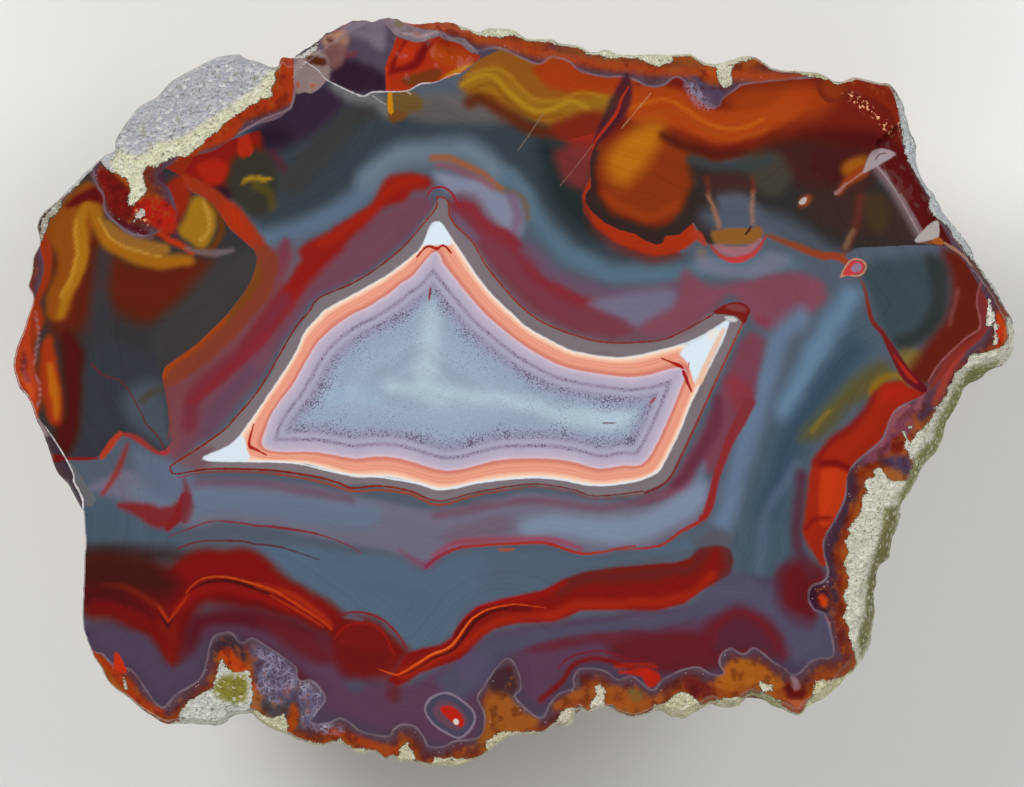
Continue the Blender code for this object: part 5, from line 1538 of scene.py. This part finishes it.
def laceGroup():
    # a moss-like scribble of fine pale threads, and painted glints where the glint spots lie
    tree, given, made = group("paleLace", {"Under": "Color", "Share": "Float", "GlintSpots": "Float",
                                           "Place": "Vector"}, {"Color": "Color"})
    bent = add(tree, "TexNoise", {"Vector": given["Place"], "Scale": 0.16, "Detail": 2.0}, 1)
    bent = add(tree, "VectorMath", {0: bent, 3: 9.0}, operation="SCALE")
    bent = add(tree, "VectorMath", {0: bent, 1: given["Place"]}, operation="ADD")
    edge = add(tree, "TexVoronoi", {"Vector": bent, "Scale": 0.13}, feature="DISTANCE_TO_EDGE")
    thread = fade(tree, edge, 0.13, 0.03)
    fine = add(tree, "TexVoronoi", {"Vector": bent, "Scale": 0.30}, feature="DISTANCE_TO_EDGE")
    thread = maths(tree, "MAXIMUM", thread, fade(tree, fine, 0.12, 0.02, 0.7))
    patchy = maths(tree, "MULTIPLY_ADD", cloud(tree, given["Place"], 0.08), 2.4, -0.5, clamp=True)
    thread = maths(tree, "MULTIPLY", maths(tree, "MULTIPLY", thread, given["Share"]), patchy)
    thread = maths(tree, "MULTIPLY", thread, 0.75)
    pale = ramp(tree, cloud(tree, given["Place"], 0.05), finish["lace"])
    colour = blend(tree, thread, given["Under"], pale)
    # painted highlight: bright glint specks where the glint spots lie
    chip = fade(tree, cloud(tree, given["Place"], 0.26, 2.0, 0.6), 0.56, 0.60)
    chip = maths(tree, "MULTIPLY", chip, given["GlintSpots"])
    tree.links.new(blend(tree, chip, colour, tone("glint")), made["Color"])
    return tree


def hostRockGroup():
    # granular cream, olive or grey rock, tinted from outside
    tree, given, made = group("hostRock", {"Tint": "Color", "Place": "Vector"},
                              {"Color": "Color", "Height": "Float"})
    lumps = cloud(tree, given["Place"], 0.09, 3.0, 0.62)
    grain = cloud(tree, given["Place"], 0.42, 2.0, 0.7)
    cells = add(tree, "TexVoronoi", {"Vector": given["Place"], "Scale": 0.30}, feature="F1")
    crystal = split(tree, cells.node.outputs["Color"])[0]
    colour = brighten(tree, given["Tint"], around(tree, lumps, 0.7), around(tree, grain, 0.5),
                      around(tree, crystal, 0.22))
    olive = fade(tree, lumps, 0.56, 0.70, 0.55)
    colour = blend(tree, olive, colour, tone("rockOlive"))
    dark = fade(tree, cloud(tree, given["Place"], 0.24, 2.0, 0.55), 0.38, 0.31, 0.65)
    colour = blend(tree, dark, colour, tone("rockDark"))
    light = fade(tree, crystal, 0.80, 0.95, 0.45)
    colour = blend(tree, light, colour, tone("rockLight"))
    height = maths(tree, "ADD", lumps, maths(tree, "MULTIPLY", grain, 0.5))
    height = maths(tree, "ADD", height, maths(tree, "MULTIPLY", cells, 0.35))
    tree.links.new(colour, made["Color"])
    tree.links.new(height, made["Height"])
    return tree


def rindSkinGroup():
    # the nodule's own red-brown skin: pitted, darker in patches of its pits, with pale bloom
    tree, given, made = group("rindSkin", {"Place": "Vector"}, {"Color": "Color", "Height": "Float"})
    broad = cloud(tree, given["Place"], 0.012, 5.0, 0.6, 0.6)
    fine = cloud(tree, given["Place"], 0.11, 5.0, 0.65)
    colour = ramp(tree, maths(tree, "ADD", maths(tree, "MULTIPLY", broad, 0.65),
                              maths(tree, "MULTIPLY", fine, 0.35)), finish["rind"])
    pale = maths(tree, "MULTIPLY", fade(tree, cloud(tree, given["Place"], 0.024, 4.0, 0.6), 0.52, 0.62),
                 fade(tree, cloud(tree, given["Place"], 0.22, 3.0, 0.6), 0.40, 0.58, 0.8))
    colour = blend(tree, pale, colour, tone("rindBloom"))
    pits = add(tree, "TexVoronoi", {"Vector": given["Place"], "Scale": 0.075}, feature="F1")
    inPit = fade(tree, pits, 0.30, 0.12)
    patchy = fade(tree, cloud(tree, given["Place"], 0.03, 2.0), 0.46, 0.56)
    inPit = maths(tree, "MULTIPLY", inPit, patchy)
    colour = blend(tree, maths(tree, "MULTIPLY", inPit, 0.75), colour, tone("rindPit"))
    colour = brighten(tree, colour, around(tree, cloud(tree, given["Place"], 0.55, 2.0), 0.5))
    height = maths(tree, "ADD", maths(tree, "MULTIPLY", cloud(tree, given["Place"], 0.045, 4.0), 1.6),
                   maths(tree, "MULTIPLY", fine, 0.9))
    height = maths(tree, "SUBTRACT", height, maths(tree, "MULTIPLY", inPit, 0.8))
    tree.links.new(colour, made["Color"])
    tree.links.new(height, made["Height"])
    return tree


markOver, growthBands, bandedEye = markOverGroup(), bandingGroup(), eyeGroup()
scallopedLine, paleLace, hostRock = rimLineGroup(), laceGroup(), hostRockGroup()
rindSkin = rindSkinGroup()


def newMaterial(name):
    material = bpy.data.materials.new(name)
    material.use_nodes = True
    tree = material.node_tree
    place = add(tree, "TexCoord", out=3)
    place = add(tree, "VectorMath", {0: place, 3: 1 / pixel}, operation="SCALE")
    return material, tree, tree.nodes["Principled BSDF"].inputs, place


def relieve(tree, shader, height, depth):
    tree.links.new(add(tree, "Bump", {"Strength": 1.0, "Distance": depth, "Height": height}),
                   shader["Normal"])


def inUse(stack, here):
    # the layers of a stack that show anywhere among these points
    return [k for k, reach in enumerate(stack.reach)
            if (reach[here, 1] + reach[here, 2] + 3 > np.abs(reach[here, 0])).any()]


def faceMaterial(zone, here):
    # one look for the whole cut face; a zone leaves out what doesn't reach it
    material, tree, shader, place = newMaterial(zone)
    outer, inner, core = split(tree, attribute(tree, "eye", "Vector"))
    rockAway, shows, broken = split(tree, attribute(tree, "rim", "Vector"))
    follow, sparkle, _ = split(tree, attribute(tree, "grow", "Vector"))
    fray = around(tree, cloud(tree, place, 0.22, 2.0), finish["fray"])
    ground = add(tree, "Attribute", attribute_name="ground").node.outputs
    colour = layOver(tree, ground["Color"], panes, here, fray)
    if zone == "agateRim":
        colour = use(tree, scallopedLine, {"Under": colour, "Away": core, "Shows": shows,
                                           "Place": place})["Color"]
    colour = use(tree, growthBands, {"Under": colour, "Away": outer, "Core": core,
                                     "Follow": follow, "Place": place})["Color"]
    colour = layOver(tree, colour, lines, here, fray)
    if zone == "agateRim":
        colour = use(tree, paleLace, {"Under": colour, "Share": ground["Alpha"],
                                      "GlintSpots": sparkle, "Place": place})["Color"]
    if zone == "agateEye":
        colour = use(tree, bandedEye, {"Under": colour, "Outer": outer, "Inner": inner,
                                       "Place": place})["Color"]
    colour = layOver(tree, colour, strokes, here, fray)
    chipDull, dullRoughness = finish["dulling"]
    dull = maths(tree, "MULTIPLY", broken, chipDull)
    if zone == "agateRim":
        rocky = use(tree, hostRock, {"Tint": attribute(tree, "rock", "Color"), "Place": place})
        jag = maths(tree, "ADD", around(tree, cloud(tree, place, 0.16, 3.0, 0.6), 7.0),
                    around(tree, cloud(tree, place, 0.6, 0.0), 3.0))
        rock = fade(tree, maths(tree, "ADD", rockAway, jag), 0.5, -0.5)
        colour = blend(tree, rock, colour, rocky["Color"])
        dull = maths(tree, "MAXIMUM", rock, dull)
        relieve(tree, shader, maths(tree, "MULTIPLY", rocky["Height"], rock), finish["rockRelief"])
    tree.links.new(colour, shader["Base Color"])
    tree.links.new(maths(tree, "MULTIPLY_ADD", dull, -finish["coat"], finish["coat"]),
                   shader["Coat Weight"])
    tree.links.new(maths(tree, "MULTIPLY_ADD", dull, dullRoughness, finish["gloss"]),
                   shader["Roughness"])
    shader["Specular IOR Level"].default_value = finish["specular"]
    shader["Coat Roughness"].default_value = finish["coatRoughness"]
    return material


def rindMaterial():
    material, tree, shader, place = newMaterial("rind")
    skin = use(tree, rindSkin, {"Place": place})
    tint = ramp(tree, cloud(tree, place, 0.02, 3.0), finish["rockBelow"])
    rocky = use(tree, hostRock, {"Tint": tint, "Place": place})
    share = split(tree, attribute(tree, "rockShare", "Vector"))[0]
    share = maths(tree, "ADD", share, around(tree, cloud(tree, place, 0.06, 4.0, 0.6), 1.0))
    share = fade(tree, share, 0.42, 0.56)
    tree.links.new(blend(tree, share, skin["Color"], rocky["Color"]), shader["Base Color"])
    height = add(tree, "Mix", {0: share, 2: skin["Height"], 3: rocky["Height"]})
    relieve(tree, shader, height, finish["rindRelief"])
    shader["Roughness"].default_value = finish["rindRoughness"]
    shader["Specular IOR Level"].default_value = finish["rindSpecular"]
    return material


def dress():
    # material 0 lies well inside, 1 is the rind, 2 has the eye, 3 has the rim
    corners = np.array([tuple(t) for t in triangles])
    nearEye = (fields["eyeOuter"] < 4)[corners].any(axis=1)
    nearRim = ((rockGap < 9) | (fields["core"] > -8) | (lace > 0) | (sparkle > 0))[corners].any(axis=1)
    zones = np.where(nearEye, 2, np.where(nearRim, 3, 0))
    for number, name in enumerate(("agate", "rind", "agateEye", "agateRim")):
        here = np.unique(corners[zones == number])
        stoneMesh.materials.append(rindMaterial() if name == "rind" else faceMaterial(name, here))
    for polygon, zone in zip(stoneMesh.polygons, zones):
        polygon.material_index = int(zone)


dress()
piece = bpy.data.objects.new("agateStone", stoneMesh)
bpy.context.scene.collection.objects.link(piece)
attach(piece, "root")
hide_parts("agate_half")


# floor, light and camera
studio = {
    "floorSize": 1.6, "floorColour": (0.80, 0.79, 0.77, 1),
    "cameraHeight": 0.62,           # over the cut face
    "floorRoughness": 0.9, "worldLight": 0.14,
    # place in metres, size, watts
    "lights": (((-0.55, 0.45, 0.62), 0.45, 6.7), ((0.60, 0.30, 0.55), 0.45, 3.7),
               ((0.05, -0.75, 0.50), 0.5, 3.0)),
}


def buildStudio():
    bpy.ops.mesh.primitive_plane_add(size=studio["floorSize"])
    floor = bpy.context.object
    floor.name = "floor"
    paint = bpy.data.materials.new("paleFloor")
    paint.use_nodes = True
    shader = paint.node_tree.nodes["Principled BSDF"]
    shader.inputs["Base Color"].default_value = studio["floorColour"]
    shader.inputs["Roughness"].default_value = studio["floorRoughness"]
    floor.data.materials.append(paint)
    world = bpy.data.worlds.new("studio")
    world.use_nodes = True
    world.node_tree.nodes["Background"].inputs["Strength"].default_value = studio["worldLight"]
    world.node_tree.nodes["Background"].inputs["Color"].default_value = (1, 1, 1, 1)
    bpy.context.scene.world = world
    for place, size, watts in studio["lights"]:
        lamp = bpy.data.objects.new("softLight", bpy.data.lights.new("softLight", "AREA"))
        lamp.data.size = size
        lamp.data.energy = watts
        lamp.location = place
        aim = Vector((0, 0, faceHeight)) - Vector(place)
        lamp.rotation_euler = aim.to_track_quat("-Z", "Y").to_euler()
        bpy.context.scene.collection.objects.link(lamp)
    lens = bpy.data.cameras.new("camera")
    camera = bpy.data.objects.new("camera", lens)
    bpy.context.scene.collection.objects.link(camera)
    centre = toMetres((stone["viewWidth"] / 2, stone["viewHeight"] / 2))
    camera.location = (*centre, faceHeight + studio["cameraHeight"])
    lens.lens = lens.sensor_width * studio["cameraHeight"] / (stone["viewWidth"] * pixel)
    bpy.context.scene.camera = camera
    bpy.context.scene.view_settings.view_transform = "Standard"


buildStudio()
